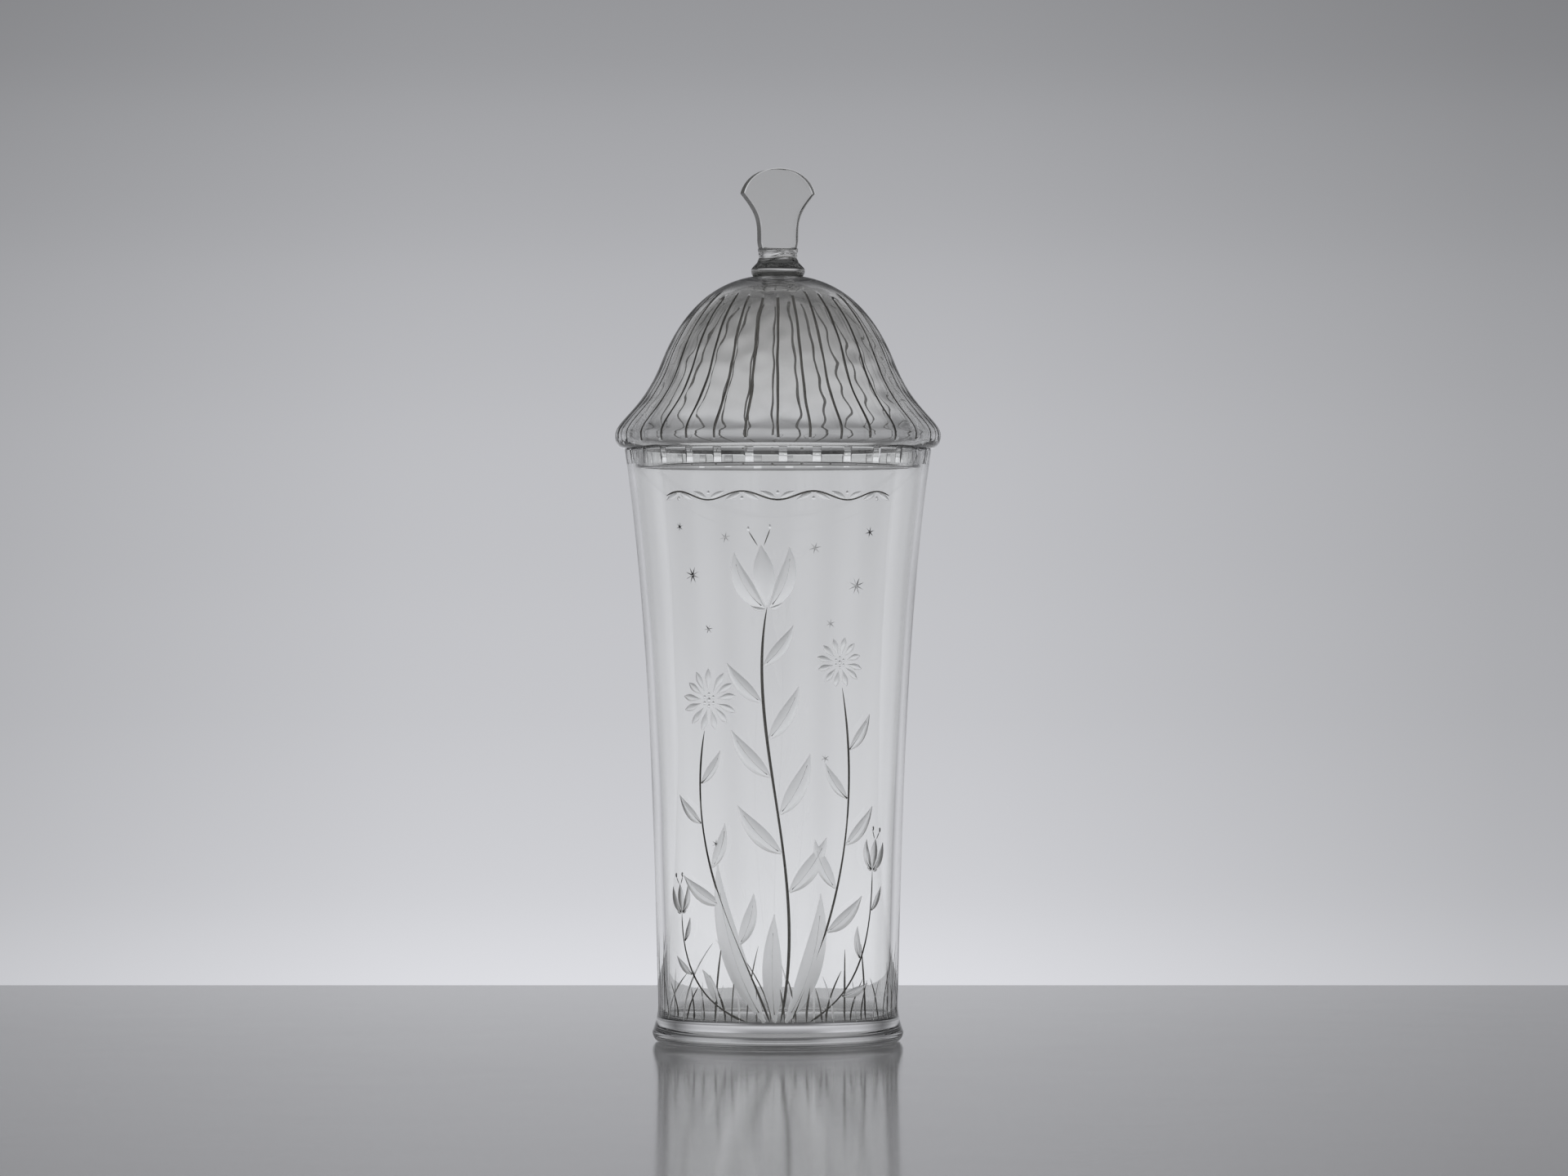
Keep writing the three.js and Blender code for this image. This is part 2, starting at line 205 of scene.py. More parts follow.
@named
class GlassColours(bpy.types.PropertyGroup):
    """Colours and finishes of the glass; the flute, paddle side and foot colours are painted shade."""

    clear: colour((0.998, 1.0, 0.992), "Tint of the clear glass")
    thick: colour((0.84, 0.836, 0.815), "Tint of the thicker glass of the cover")
    matte: colour((0.93, 0.94, 0.94), "Tint of the matte cut glass")
    # Painted shade: this near-black tint darkens the ground flutes and the cut lines.
    flute: colour((0.07, 0.067, 0.06), "Tint of the ground flutes")
    # Painted shade: this near-black tint darkens the ground sides of the paddle.
    paddle_side: colour((0.10, 0.10, 0.096), "Tint of the ground side of the paddle")
    # Painted shade: this near-black tint darkens the foot's lower edge and bands round the finial's ring.
    foot: colour((0.07, 0.07, 0.066), "Tint of the foot's lower edge and of the finial's ring")
    index: share(1.5, "How strongly the glass bends light")


@named
class StageSizes(bpy.types.PropertyGroup):
    """The table and the camera."""

    eye_height: length(0.1712, "Height of the camera over the table")
    eye_distance: length(2.441, "Distance from the camera to the vase's axis")
    eye_shift: length(0.0023, "How far the camera stands to the right of the axis")
    lens: share(148.1, "Focal length in millimetres on a sensor 36 millimetres wide")
    table_back: length(0.34, "Distance of the table's back edge behind the axis")
    table_reach: length(1.6, "How far the table reaches to the front and the sides")
    table_thickness: length(0.03, "Thickness of the table top")
    table_colour: colour((0.56, 0.562, 0.578), "Colour of the polished table top")


class Value:
    """A shader value that can stand in a sum or a product, each of which adds its Math node."""

    def __init__(self, shade, socket):
        self.shade = shade
        self.socket = socket

    def math(self, operation, *others):
        """The result of a Math node on this value and others."""
        inputs = dict(enumerate((self, *others)))
        return self.shade.node("ShaderNodeMath", {"operation": operation}, inputs)

    def __add__(self, other):
        return self.math("ADD", other)

    def __mul__(self, other):
        return self.math("MULTIPLY", other)

    def __truediv__(self, other):
        return self.math("DIVIDE", other)


class Shade:
    """The node tree of a material or of the world."""

    MIX_A, MIX_B, MIX_RESULT = 6, 7, 2

    def __init__(self, owner):
        owner.use_nodes = True
        self.tree = owner.node_tree
        self.tree.nodes.clear()

    def node(self, kind, settings=None, inputs=None, output=0):
        """Adds a node: first its settings, then the values or links of its sockets."""
        made = self.tree.nodes.new(kind)
        for name, value in (settings or {}).items():
            if name == "stops":
                made.color_ramp.interpolation = "CARDINAL"
                self.set_stops(made.color_ramp.elements, value)
            else:
                setattr(made, name, value)
        for key, value in (inputs or {}).items():
            if isinstance(value, Value):
                self.tree.links.new(value.socket, made.inputs[key])
            else:
                made.inputs[key].default_value = value
        return Value(self, made.outputs[output]) if made.outputs else None

    @staticmethod
    def set_stops(elements, stops):
        """Gives a colour ramp its stops, each a place and a grey level."""
        while len(elements) < len(stops):
            elements.new(1)
        for element, (place, level) in zip(elements, stops):
            element.position = place
            element.color = (level, level, level, 1)

    def mix(self, factor, first, second, blend="MIX"):
        """Blends two colours."""
        settings = {"data_type": "RGBA", "blend_type": blend}
        inputs = {0: factor, self.MIX_A: first, self.MIX_B: second}
        return self.node("ShaderNodeMix", settings, inputs, self.MIX_RESULT)

    def noise(self, place, scale, detail=2.0):
        """Cloudy values between 0 and 1."""
        return self.node("ShaderNodeTexNoise", None, {"Vector": place, "Scale": scale, "Detail": detail})

    def place(self):
        """Places on the object, in metres."""
        return self.node("ShaderNodeTexCoord", output="Object")

    def axis(self, place, number):
        """One coordinate of a place."""
        return self.node("ShaderNodeSeparateXYZ", None, {0: place}, number)

    def span(self, value, low, high, start=0.0, end=1.0, soft=False):
        """Carries a value over from one range to another."""
        kind = {"interpolation_type": "SMOOTHSTEP" if soft else "LINEAR"}
        return self.node("ShaderNodeMapRange", kind, {0: value, 1: low, 2: high, 3: start, 4: end})

    def levels(self, value, stops):
        """A smooth curve through stops, each a value and its grey level."""
        low, high = stops[0][0], stops[-1][0]
        shares = [((at - low) / (high - low), level) for at, level in stops]
        return self.node("ShaderNodeValToRGB", {"stops": shares}, {0: self.span(value, low, high)})


def rgba(values):
    """A colour with full opacity, from a property or a tuple."""
    return (*values, 1.0)


def height_tints_and_painted_shade(shade, place, base):
    """Greys the glass by height: a tint for the thick cover, and painted shade at the foot's lower edge and
    round the finial's ring.
    """
    glass = bpy.context.scene.vase_glass
    height = shade.axis(place, 2)
    seat, ring = DOME_LOW.z, RING_LOW.z
    thick = shade.levels(height, (
        (COLLAR_LOW.z, 0.0), (seat + 0.011, 0.05), (seat + 0.016, 0.4), (seat + 0.032, 0.6),
        (seat + 0.05, 1.0), (ring, 1.0), (ring + 0.005, 1.0),
        (PADDLE_LOW.z + 0.004, 0.6), (PADDLE_HIGH.z, 0.55),
    ))
    # Painted shade in bands round the finial's ring, on the top of the bell under it and, faintly, all over
    # the neck and paddle above it.
    painted_shade = shade.levels(height, (
        (ring - 0.0085, 0.0), (ring - 0.006, 0.12), (ring - 0.004, 0.4), (ring - 0.0008, 0.35),
        (ring, 1.0), (ring + 0.0013, 1.0), (ring + 0.0018, 0.2), (ring + 0.0026, 0.2),
        (ring + 0.0031, 1.0), (ring + 0.0058, 1.0), (RING_HIGH.z + 0.002, 0.1),
    ))
    # Painted shade on the foot's lower outer edge, which also darkens its reflection in the table.
    reach = shade.node("ShaderNodeVectorMath", {"operation": "LENGTH"}, {0: place}, 1)
    edge = shade.span(reach, FOOT_HIGH.x - 0.011, FOOT_HIGH.x - 0.004)
    foot = shade.span(height, 0.0010, 0.0045, 0.5, 0.0)
    base = shade.mix(thick, base, rgba(glass.thick))
    return shade.mix(foot * edge + painted_shade, base, rgba(glass.foot))


def glass_material(finish):
    """Glass whose tint, polish and faint ripples vary over the surface; the clear glass also carries painted
    shade at the foot's edge and round the finial's ring.
    """
    glass = bpy.context.scene.vase_glass
    material = bpy.data.materials.new(finish.name)
    shade = Shade(material)
    place = shade.place()
    cloud = shade.noise(place, 45.0)
    fine = shade.noise(place, finish.grain, 3.0)
    tint = getattr(glass, finish.tint)
    deep = tuple(level * (1 - finish.tint_depth) for level in tint)
    base = shade.mix(cloud * 0.4 + fine * 0.6, rgba(tint), rgba(deep))
    if finish is FINISHES[CLEAR]:
        base = height_tints_and_painted_shade(shade, place, base)
    ripples = {"Strength": 1.0, "Distance": finish.ripple, "Height": fine + cloud * 2.0}
    glassy = {
        "Base Color": base,
        "Roughness": fine * finish.roughness_depth + finish.roughness,
        "Transmission Weight": finish.through,
        "IOR": glass.index,
        "Normal": shade.node("ShaderNodeBump", None, ripples),
    }
    surface = shade.node("ShaderNodeBsdfPrincipled", None, glassy)
    clear = shade.node("ShaderNodeBsdfTransparent", None, {"Color": rgba((SHADOW_PASS,) * 3)})
    shadow = shade.node("ShaderNodeLightPath", output="Is Shadow Ray")
    both = shade.node("ShaderNodeMixShader", None, {0: shadow, 1: surface, 2: clear})
    shade.node("ShaderNodeOutputMaterial", None, {"Surface": both})
    return material


def glass_materials():
    """The finishes of the glass, in the order of their numbers."""
    return [bpy.data.materials.get(finish.name) or glass_material(finish) for finish in FINISHES]


def bow(start, pull_start, pull_end, end, steps):
    """Points of a cubic curve, without the first one."""
    t = np.linspace(0, 1, steps + 1)[1:, None]
    s = 1 - t
    corners = [np.asarray(point, float) for point in (start, pull_start, pull_end, end)]
    weights = (s**3, 3 * s * s * t, 3 * s * t * t, t**3)
    return sum(weight * corner for weight, corner in zip(weights, corners))


def quarter(start, corner, end, steps):
    """Points of a quarter of an ellipse round a corner, without the first one."""
    start, corner, end = (np.asarray(point, float) for point in (start, corner, end))
    pull_start = start + (corner - start) * QUARTER_PULL
    pull_end = end + (corner - end) * QUARTER_PULL
    return bow(start, pull_start, pull_end, end, steps)


def straight(start, end, steps=1):
    """Points of a straight run, without the first one."""
    t = np.linspace(0, 1, steps + 1)[1:, None]
    return np.asarray(start, float) * (1 - t) + np.asarray(end, float) * t


def tangents(line):
    """The direction of a line at each of its points."""
    along = np.gradient(line, axis=0)
    return along / np.linalg.norm(along, axis=1)[:, None]


def left_of(along):
    """The directions a quarter turn to the left of others."""
    return np.stack((-along[:, 1], along[:, 0]), -1)


def heading_of(angle):
    """The direction of a heading, measured from straight up to the right."""
    return np.array((math.sin(angle), math.cos(angle)))


def right_of(angle):
    """The direction to the right of a heading."""
    return np.array((math.cos(angle), -math.sin(angle)))


def ramp(beyond, reach):
    """Grows from 0 to 1 over a reach, from the distance beyond its start."""
    return np.clip(beyond / reach, 0, 1)


def waves(seed, count, around, along):
    """A smooth random wave in angle and height, between about -1 and 1, the same on every run."""
    draw = np.random.default_rng(seed)
    turns = draw.integers(around[0], around[1] + 1, count)
    rise = TURN / draw.uniform(along[0], along[1], count) * draw.choice([-1, 1], count)
    start = draw.uniform(0, TURN, count)

    def wave(angle, height):
        """The height of the wave at a place."""
        total = np.zeros(np.broadcast(angle, height).shape)
        for k, m, p in zip(turns, rise, start):
            total = total + np.sin(k * angle + m * height + p)
        return total / count**0.5

    return wave


def ring_points(radius, angle, height):
    """Points on rings, from arrays of radius, angle from the front, and height."""
    radius, angle, height = np.broadcast_arrays(radius, angle, height)
    return np.stack((radius * np.sin(angle), -radius * np.cos(angle), height), -1)


def ring_faces(rows, columns):
    """Quads between rings of points, each ring closed on itself."""
    row = np.arange(rows - 1)[:, None]
    column = np.arange(columns)[None, :]
    after = (column + 1) % columns
    below, above = row * columns, (row + 1) * columns
    quads = (below + column, below + after, above + after, above + column)
    return np.stack(np.broadcast_arrays(*quads), -1).reshape(-1, 4)


def fan(tip, ring, flip):
    """Triangles from a tip to a ring of points."""
    after = np.roll(ring, -1)
    first, second = (after, ring) if flip else (ring, after)
    return np.stack((np.full(len(ring), tip), first, second), -1)


def capped(rings, start, end):
    """Points and faces of a closed skin over rings, with a point at each end."""
    rows, columns, _ = rings.shape
    points = np.concatenate((rings.reshape(-1, 3), [start, end]))
    first = np.arange(columns)
    last = first + (rows - 1) * columns
    tip = rows * columns
    faces = ring_faces(rows, columns).tolist()
    faces += fan(tip, first, True).tolist()
    faces += fan(tip + 1, last, False).tolist()
    return points, faces


def outward(points, faces):
    """Turns the faces round if they point inwards."""
    corners = [face[i:i + 2] for face in faces for i in range(1, len(face) - 1)]
    first = np.array([face[0] for face in faces for i in range(1, len(face) - 1)])
    second, third = np.array(corners).T
    total = np.sum(points[first] * np.cross(points[second], points[third]))
    return faces if total > 0 else [face[::-1] for face in faces]


def mesh_object(name, points, faces, materials, numbers=None):
    """An object with a mesh, and a material number for each face."""
    mesh = bpy.data.meshes.new(name)
    mesh.from_pydata(np.asarray(points).tolist(), [], [list(face) for face in faces])
    for material in materials:
        mesh.materials.append(material)
    if numbers is not None:
        mesh.polygons.foreach_set("material_index", np.asarray(numbers, np.int32))
    mesh.update()
    made = bpy.data.objects.new(name, mesh)
    bpy.context.scene.collection.objects.link(made)
    return made


def glass_object(name, points, faces, lift=0.0, numbers=None):
    """A piece of glass, raised to its height."""
    faces = outward(points, faces)
    return mesh_object(name, points + (0, 0, lift), faces, glass_materials(), numbers)


def combine(body, tool, operation):
    """Cuts a tool out of a body, or joins it on, and removes the tool."""
    change = body.modifiers.new(operation, "BOOLEAN")
    change.operation = operation
    change.solver = "MANIFOLD"
    change.object = tool
    bpy.context.view_layer.update()
    before = body.data
    shown = body.evaluated_get(bpy.context.evaluated_depsgraph_get())
    result = bpy.data.meshes.new_from_object(shown)
    if len(result.polygons) <= len(before.polygons) // 2:
        raise RuntimeError(f"{operation} of {tool.name} and {body.name} lost most of the glass")
    body.modifiers.clear()
    body.data = result
    name = before.name
    bpy.data.meshes.remove(before)
    result.name = name
    bpy.data.objects.remove(tool)


def smooth(made, angle):
    """Shades a piece smooth, with sharp edges where it bends by more than an angle."""
    made.data.shade_smooth()
    made.data.set_sharp_from_angle(angle=angle)
    made.data.update()


def finish_piece(made, body, nodes):
    """Lets a piece ride on its body in place of the plain solids."""
    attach(made, body)
    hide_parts(*nodes)


def wall_curve(sizes, low_inset, rim_inset, steps):
    """A curve up the jar's wall from the waist to the top of the rim, set in from the outside."""
    top = sizes.height - SEAT_GAP / 2
    waist = sizes.waist_radius - low_inset
    rim = sizes.rim_radius - rim_inset
    pull = (top - sizes.waist_height) / 3
    return bow(
        (waist, sizes.waist_height),
        (waist + sizes.slope_low * pull, sizes.waist_height + pull),
        (rim - sizes.slope_rim * pull, top - pull),
        (rim, top),
        steps,
    )


class WallMap:
    """Places on the outside of the jar: across and up the wall in metres, and a depth into the glass."""

    def __init__(self, sizes):
        self.curve = wall_curve(sizes, 0, 0, 200)
        self.ripple = sizes.ripple
        self.wave = waves(11, 9, (2, 7), (0.05, 0.16))

    def radius(self, height):
        """The radius of the wall at a height, without its ripples."""
        return np.interp(height, self.curve[:, 1], self.curve[:, 0])

    def surface(self, angle, height):
        """The radius of the wall at a place, with its ripples."""
        return self.radius(height) + self.ripple * self.wave(angle, height)

    def points(self, across, height, depth):
        """Points for distances across the wall from its front."""
        angle = across / self.radius(height)
        return ring_points(self.surface(angle, height) - depth, angle, height)


def jar_profile(sizes):
    """The outline of the jar: below the waist, the outer wall, the rim, the inner wall, and the floor."""
    edge = sizes.foot_radius - sizes.foot_round
    inner_ring = edge - sizes.foot_ring
    foot_top = (sizes.foot_radius, sizes.foot_thickness)
    waist = (sizes.waist_radius, sizes.waist_height)
    sweep = (sizes.waist_height - sizes.foot_thickness) / 2
    sweep_corner = (waist[0] - sizes.slope_low * sweep, waist[1] - sweep)
    soft, hollow_slope, hollow_pull, middle = 0.0003, 0.004, 0.001, 0.0005
    hollow = np.array((inner_ring, sizes.foot_hollow))
    hollow_end = hollow - (hollow_slope, 0)
    low = np.concatenate((
        straight((0, sizes.foot_hollow), hollow_end, 6),
        quarter(hollow_end, hollow - (hollow_pull, 0), (inner_ring, 0), 5),
        straight((inner_ring, 0), (edge - soft, 0), 3),
        quarter((edge - soft, 0), (sizes.foot_radius, 0), foot_top, 12),
        quarter(foot_top, sweep_corner, waist, 14),
    ))
    outer = wall_curve(sizes, 0, 0, 56)
    rim_out = outer[-1]
    inner = wall_curve(sizes, sizes.wall_low, sizes.wall_rim, 40)
    rim_in = inner[-1]
    r = sizes.rim_round
    inner_radius = sizes.waist_radius - sizes.wall_low
    fillet_top = (inner_radius, sizes.floor + sizes.floor_fillet)
    fillet_end = (inner_radius - sizes.floor_fillet, sizes.floor)
    rim = np.concatenate((
        quarter(rim_out - (0, r), rim_out, rim_out - (r, 0), 8),
        straight(rim_out - (r, 0), rim_in + (r, 0), 2),
        quarter(rim_in + (r, 0), rim_in, rim_in - (0, r), 8),
    ))
    floor = np.concatenate((
        straight((inner_radius, sizes.waist_height), fillet_top, 2),
        quarter(fillet_top, (inner_radius, sizes.floor), fillet_end, 9),
        straight(fillet_end, (middle, sizes.floor), 6),
    ))
    return low, outer[outer[:, 1] < rim_out[1] - r], rim, inner[-3::-1], floor


def make_jar():
    """The jar and its foot as one piece of glass, before anything is cut."""
    sizes = bpy.context.scene.vase_sizes
    wall = WallMap(sizes)
    inside = waves(23, 10, (2, 6), (0.04, 0.13))
    parts = jar_profile(sizes)
    profile = np.concatenate(parts)
    ends = np.cumsum([len(part) for part in parts])
    up, down = slice(ends[0], ends[1]), slice(ends[2], ends[3])
    columns = 384
    angle = np.arange(columns) * TURN / columns
    radius, height = profile[:, :1], profile[:, 1:]
    rings = ring_points(radius, angle, height)
    fade_length, plain_rim, inner_share = 0.01, 0.012, 1.5
    fade = ramp(height[up] - sizes.waist_height, fade_length)
    outside = radius[up] + wall.ripple * wall.wave(angle, height[up]) * fade
    rings[up] = ring_points(outside, angle, height[up])
    bulge = ramp(sizes.height - plain_rim - height[down], fade_length)
    inner = radius[down] + inner_share * wall.ripple * inside(angle, height[down]) * bulge
    rings[down] = ring_points(inner, angle, height[down])
    points, faces = capped(rings, (0, 0, sizes.foot_hollow), (0, 0, sizes.floor))
    return glass_object("glass_vase", points, faces)


def cut_notches(jar):
    """Cuts the flat polished notches round the outside of the rim."""
    sizes = bpy.context.scene.vase_sizes
    wall = WallMap(sizes)
    low = sizes.height - sizes.notch_height
    over, thick = 0.002, 0.004
    end_depth, swell = 0.45, 0.85
    turn_error, width_error, height_error = 0.004, 0.04, 0.00012
    points, faces, numbers = [], [], []
    draw = np.random.default_rng(5)
    for i in range(sizes.notch_count):
        angle = sizes.notch_turn + i * TURN / sizes.notch_count + draw.normal(0, turn_error)
        half = sizes.notch_width / 2 * (1 + draw.normal(0, width_error))
        foot = low + draw.normal(0, height_error)
        middle = ring_points(1.0, angle, 0.0)
        side = ring_points(1.0, angle + TURN / 4, 0.0)
        start = len(points)
        levels = np.linspace(0, 1, 10)
        for t in levels:
            height = foot + (sizes.height + over - foot) * t
            inner = wall.radius(min(height, sizes.height))
            inner += sizes.slope_rim * max(height - sizes.height, 0)
            inner -= sizes.notch_depth * (end_depth + swell * math.sin(math.pi * min(t * 1.1, 1.0)))
            outer = inner + thick
            for along, reach in ((-half, inner), (half, inner), (half, outer), (-half, outer)):
                corner = middle * reach + side * along
                points.append((corner[0], corner[1], height))
        rows = ring_faces(len(levels), 4) + start
        faces += rows.tolist() + [[start + 3, start + 2, start + 1, start]]
        faces.append([start + 4 * (len(levels) - 1) + corner for corner in range(4)])
        numbers += [POLISHED] * (len(rows) + 2)
    tool = glass_object("notch_wheel", np.array(points), faces, 0.0, numbers)
    combine(jar, tool, "DIFFERENCE")


class Cut:
    """A shape to take out of the wall, with discs on the unrolled wall that cover it."""

    def __init__(self, points, faces, number, discs):
        self.points = points
        self.faces = outward(points, faces)
        self.number = number
        self.discs = discs
        self.low = (discs[:, :2] - discs[:, 2:]).min(0)
        self.high = (discs[:, :2] + discs[:, 2:]).max(0)

    def near(self, other):
        """Tells whether two cuts come near each other."""
        if np.any(self.low > other.high) or np.any(self.high < other.low):
            return False
        between = self.discs[:, None, :2] - other.discs[None, :, :2]
        reach = self.discs[:, None, 2] + other.discs[None, :, 2]
        return bool(np.any(np.hypot(between[..., 0], between[..., 1]) < reach))


class Wheel:
    """Draws cuts on the unrolled wall, across and up in metres, and takes their shapes out of it."""

    # Places across a round cut and across a V-shaped cut, whose edges are at -1 and 1.
    ROUND = np.linspace(-1.2, 1.2, 9)
    KEEN = np.array((-1.25, 0.0, 1.25))
    # How far the shapes stand out of the wall, and how far they go on past the ends of a line.
    OUT = 0.0003
    PAST = 0.0004
    # The distance between the points of a leaf's line and of a long line.
    LEAF_STEP = 0.0013
    LONG_STEP = 0.003

    def __init__(self, wall):
        self.wall = wall
        self.draw = np.random.default_rng(1)
        self.cuts = []

    def cut(self, line, half, depth, number, power=2.0, lean=0.0):
        """Cuts along a line with a half width and a depth at each of its points."""
        line = np.asarray(line, float)
        half = np.asarray(half, float)[:, None]
        depth = np.asarray(depth, float)[:, None]
        along = tangents(line)
        s = self.KEEN if power == 1 else self.ROUND
        deep = depth * (1 - np.abs(s) ** power) * (1 + lean * s)
        over = -self.OUT - 0.5 * depth
        s = np.concatenate((s, s[-1:], s[:1]))
        deep = np.concatenate((deep, over, over), 1)
        flat = line[:, None, :] + left_of(along)[:, None, :] * (half * s)[:, :, None]
        rings = self.wall.points(flat[:, :, 0], flat[:, :, 1], deep)
        tips = [line[0] - along[0] * self.PAST, line[-1] + along[-1] * self.PAST]
        ends = [self.wall.points(*tip, -self.OUT) for tip in tips]
        spare = 0.00025
        discs = np.concatenate((line, half * 1.3 + spare), 1)
        self.cuts.append(Cut(*capped(rings, *ends), number, discs))

    def stem(self, line, width, depth, number=FLUTE_PAINTED_SHADE, ends=(0.25, 0.25)):
        """A narrow V-shaped line that runs out at its ends, with a width that wanders a little."""
        tip, wander = 0.15, 0.12
        t = np.linspace(0, 1, len(line))
        taper = np.minimum(ramp(t, ends[0]), ramp(1 - t, ends[1])) ** 0.5 * (1 - tip) + tip
        taper *= 1 + wander * np.sin(t * self.draw.uniform(9, 14) + self.draw.uniform(0, 6))
        # The default finish is the ground flute's, whose near-black tint is painted shade.
        self.cut(line, width / 2 * taper, depth * taper, number, power=1)

    def leaf(self, root, heading, size, width, bend, depth, lean=0.25, widest=0.42):
        """A pointed leaf that leaves its root in a heading, measured from straight up to the right."""
        tip, straight_at, flatness = 0.02, 0.3, 2.6
        rows = max(9, int(size / self.LEAF_STEP))
        t = np.linspace(0, 1, rows)
        turned = heading + bend * (t - straight_at)
        step = np.stack((np.sin(turned), np.cos(turned)), -1) * size / (rows - 1)
        line = np.asarray(root, float) + np.cumsum(step, 0) - step[0]
        bulge = np.log(0.5) / np.log(widest)
        shape = np.sin(math.pi * np.clip(t, tip, 1 - tip) ** bulge) ** 0.9
        self.cut(line, width / 2 * shape, 1.2 * depth * shape**0.8, MATTE, flatness, lean)
        return line

    def vein(self, line, depth):
        """A thin line along the floor of a leaf, from near its root to near its tip."""
        width, over_leaf = 0.00035, 0.00018
        start, end = int(len(line) * 0.08), int(len(line) * 0.85)
        part = line[start:max(end, start + 3)]
        t = np.linspace(0, 1, len(part))
        keen = np.sin(math.pi * np.clip(t, 0.06, 0.94)) ** 0.5
        over = over_leaf * keen
        full = depth * (0.55 + 0.45 * keen) + over
        # Veins take the ground flute finish, whose near-black tint is painted shade.
        self.cut(part, width / 2 * full / over * keen, full, FLUTE_PAINTED_SHADE, power=1)

    def bead(self, centre, width, tall, heading=0.0, depth=0.0004):
        """A round or oval polished hollow."""
        t = np.linspace(-0.97, 0.97, 11)
        line = np.asarray(centre, float) + heading_of(heading) * (t * tall / 2)[:, None]
        shape = np.sqrt(1 - t**2)
        self.cut(line, width / 2 * shape, depth * shape**1.5, POLISHED)

    def star(self, centre, reach, rays, first):
        """A star with sloping rays that meet in its deepest point."""
        depth, over, notch = 0.0005, 0.0002, 0.22
        k = np.arange(2 * rays)
        angle = first + k * math.pi / rays
        radius = np.where(k % 2, reach * notch, reach)
        grow = 1 + over / depth
        rays_to = np.stack((np.sin(angle), np.cos(angle)), -1)
        flat = np.asarray(centre) + rays_to * (radius * grow)[:, None]
        ring = self.wall.points(flat[:, 0], flat[:, 1], np.full(len(k), -over))
        ends = [self.wall.points(*centre, level) for level in (depth, -2 * self.OUT)]
        disc = np.array([[*centre, reach * grow + self.OUT]])
        self.cuts.append(Cut(*capped(ring[None], *ends), POLISHED, disc))

    def daisy(self, centre, reach, petals, first=0.0):
        """A daisy seen from the front, with round beads in its middle."""
        centre = np.asarray(centre, float)
        width = reach * 0.72 * math.pi / petals * 1.35
        for i in range(petals):
            heading = first + i * TURN / petals + self.draw.normal(0, 0.03)
            size = reach * self.draw.uniform(0.66, 0.74)
            root = centre + heading_of(heading) * reach * 0.30
            self.leaf(root, heading, size, width, 0.1, 0.00040, 0.2, 0.62)
        middle, small, beads = reach * 0.17, reach * 0.12, 6
        self.bead(centre, middle, middle)
        for i in range(beads):
            spot = centre + heading_of(i * TURN / beads) * reach * 0.19
            self.bead(spot, small, small, depth=0.00025)

    def tulip(self, root, heading, size):
        """An open tulip with three petals, two fine threads and beads at their tips."""
        ahead = heading_of(heading)
        aside = right_of(heading)

        def spot(up, across):
            """A place in the flower, in shares of its size."""
            return root + ahead * size * up + aside * size * across

        self.leaf(spot(0.03, 0), heading, size * 0.93, size * 0.34, 0.0, 0.0006, 0.1, 0.5)
        for side in (-1, 1):
            bend, lean = -side * 0.9, side * 0.4
            petal, sepal = heading + side * 0.62, heading + side * 1.5
            outer = self.leaf(spot(0, side * 0.045), petal, size, size * 0.29, bend, 0.00055, lean, 0.45)
            self.vein(outer, 0.0005)
            tip = spot(1.20, side * 0.17)
            self.stem(np.linspace(spot(0.96, side * 0.05), tip, 6), 0.0004, 0.00015)
            self.bead(tip + ahead * 0.0008, 0.0012, 0.0018, heading, 0.0003)
            self.leaf(spot(-0.02, side * 0.03), sepal, size * 0.24, size * 0.07, bend, 0.0003)

    def plant(self, corners, width, leaves, size, spread=0.75):
        """A stem along a curve with leaves by turns to its left and right; gives back its line."""
        first, last = 0.3, 0.86
        steps = max(8, int(corners[3][1] / self.LONG_STEP))
        line = np.concatenate(([corners[0]], bow(*corners, steps)))
        self.stem(line, width, width * 0.8, ends=(0.04, 0.1))
        for i, t in enumerate(np.linspace(first, last, leaves)):
            at = int(t * (len(line) - 1))
            ahead = line[at + 1] - line[at]
            heading = math.atan2(ahead[0], ahead[1])
            side = -1 if i % 2 else 1
            grown = size * (1 - 0.42 * t) * self.draw.uniform(0.92, 1.08)
            root = line[at] + side * right_of(heading) * (width / 2 + self.OUT)
            outwards = heading + side * spread * self.draw.uniform(0.9, 1.1)
            made = self.leaf(root, outwards, grown, grown * 0.27, -side * 0.5, 0.0005, -side * 0.35)
            self.vein(made, 0.00045)
        return line

    def garland(self, low, high, up, bends):
        """A waving twig with small leaves and berries between two places."""
        swing, size = 0.0016, 0.0062
        t = np.linspace(0, 1, bends * 10)
        line = np.stack((low + (high - low) * t, up + swing * np.sin(t * bends * math.pi)), -1)
        self.stem(line, 0.0006, 0.00045, ends=(0.04, 0.04))
        pitch = (high - low) / bends
        for i in range(bends):
            side = 1 if i % 2 else -1
            middle = np.array((low + pitch * (i + 0.5), up - side * swing))
            for heading in (-1.15, 1.15):
                root = middle + (math.copysign(0.0009, heading), side * 0.0007)
                outwards = heading if side > 0 else math.pi - heading
                self.leaf(root, outwards, size, 0.0021, 0.0, 0.00032, 0.2)
            self.bead(middle + (0, side * 0.0026), 0.0015, 0.0015, depth=0.0003)

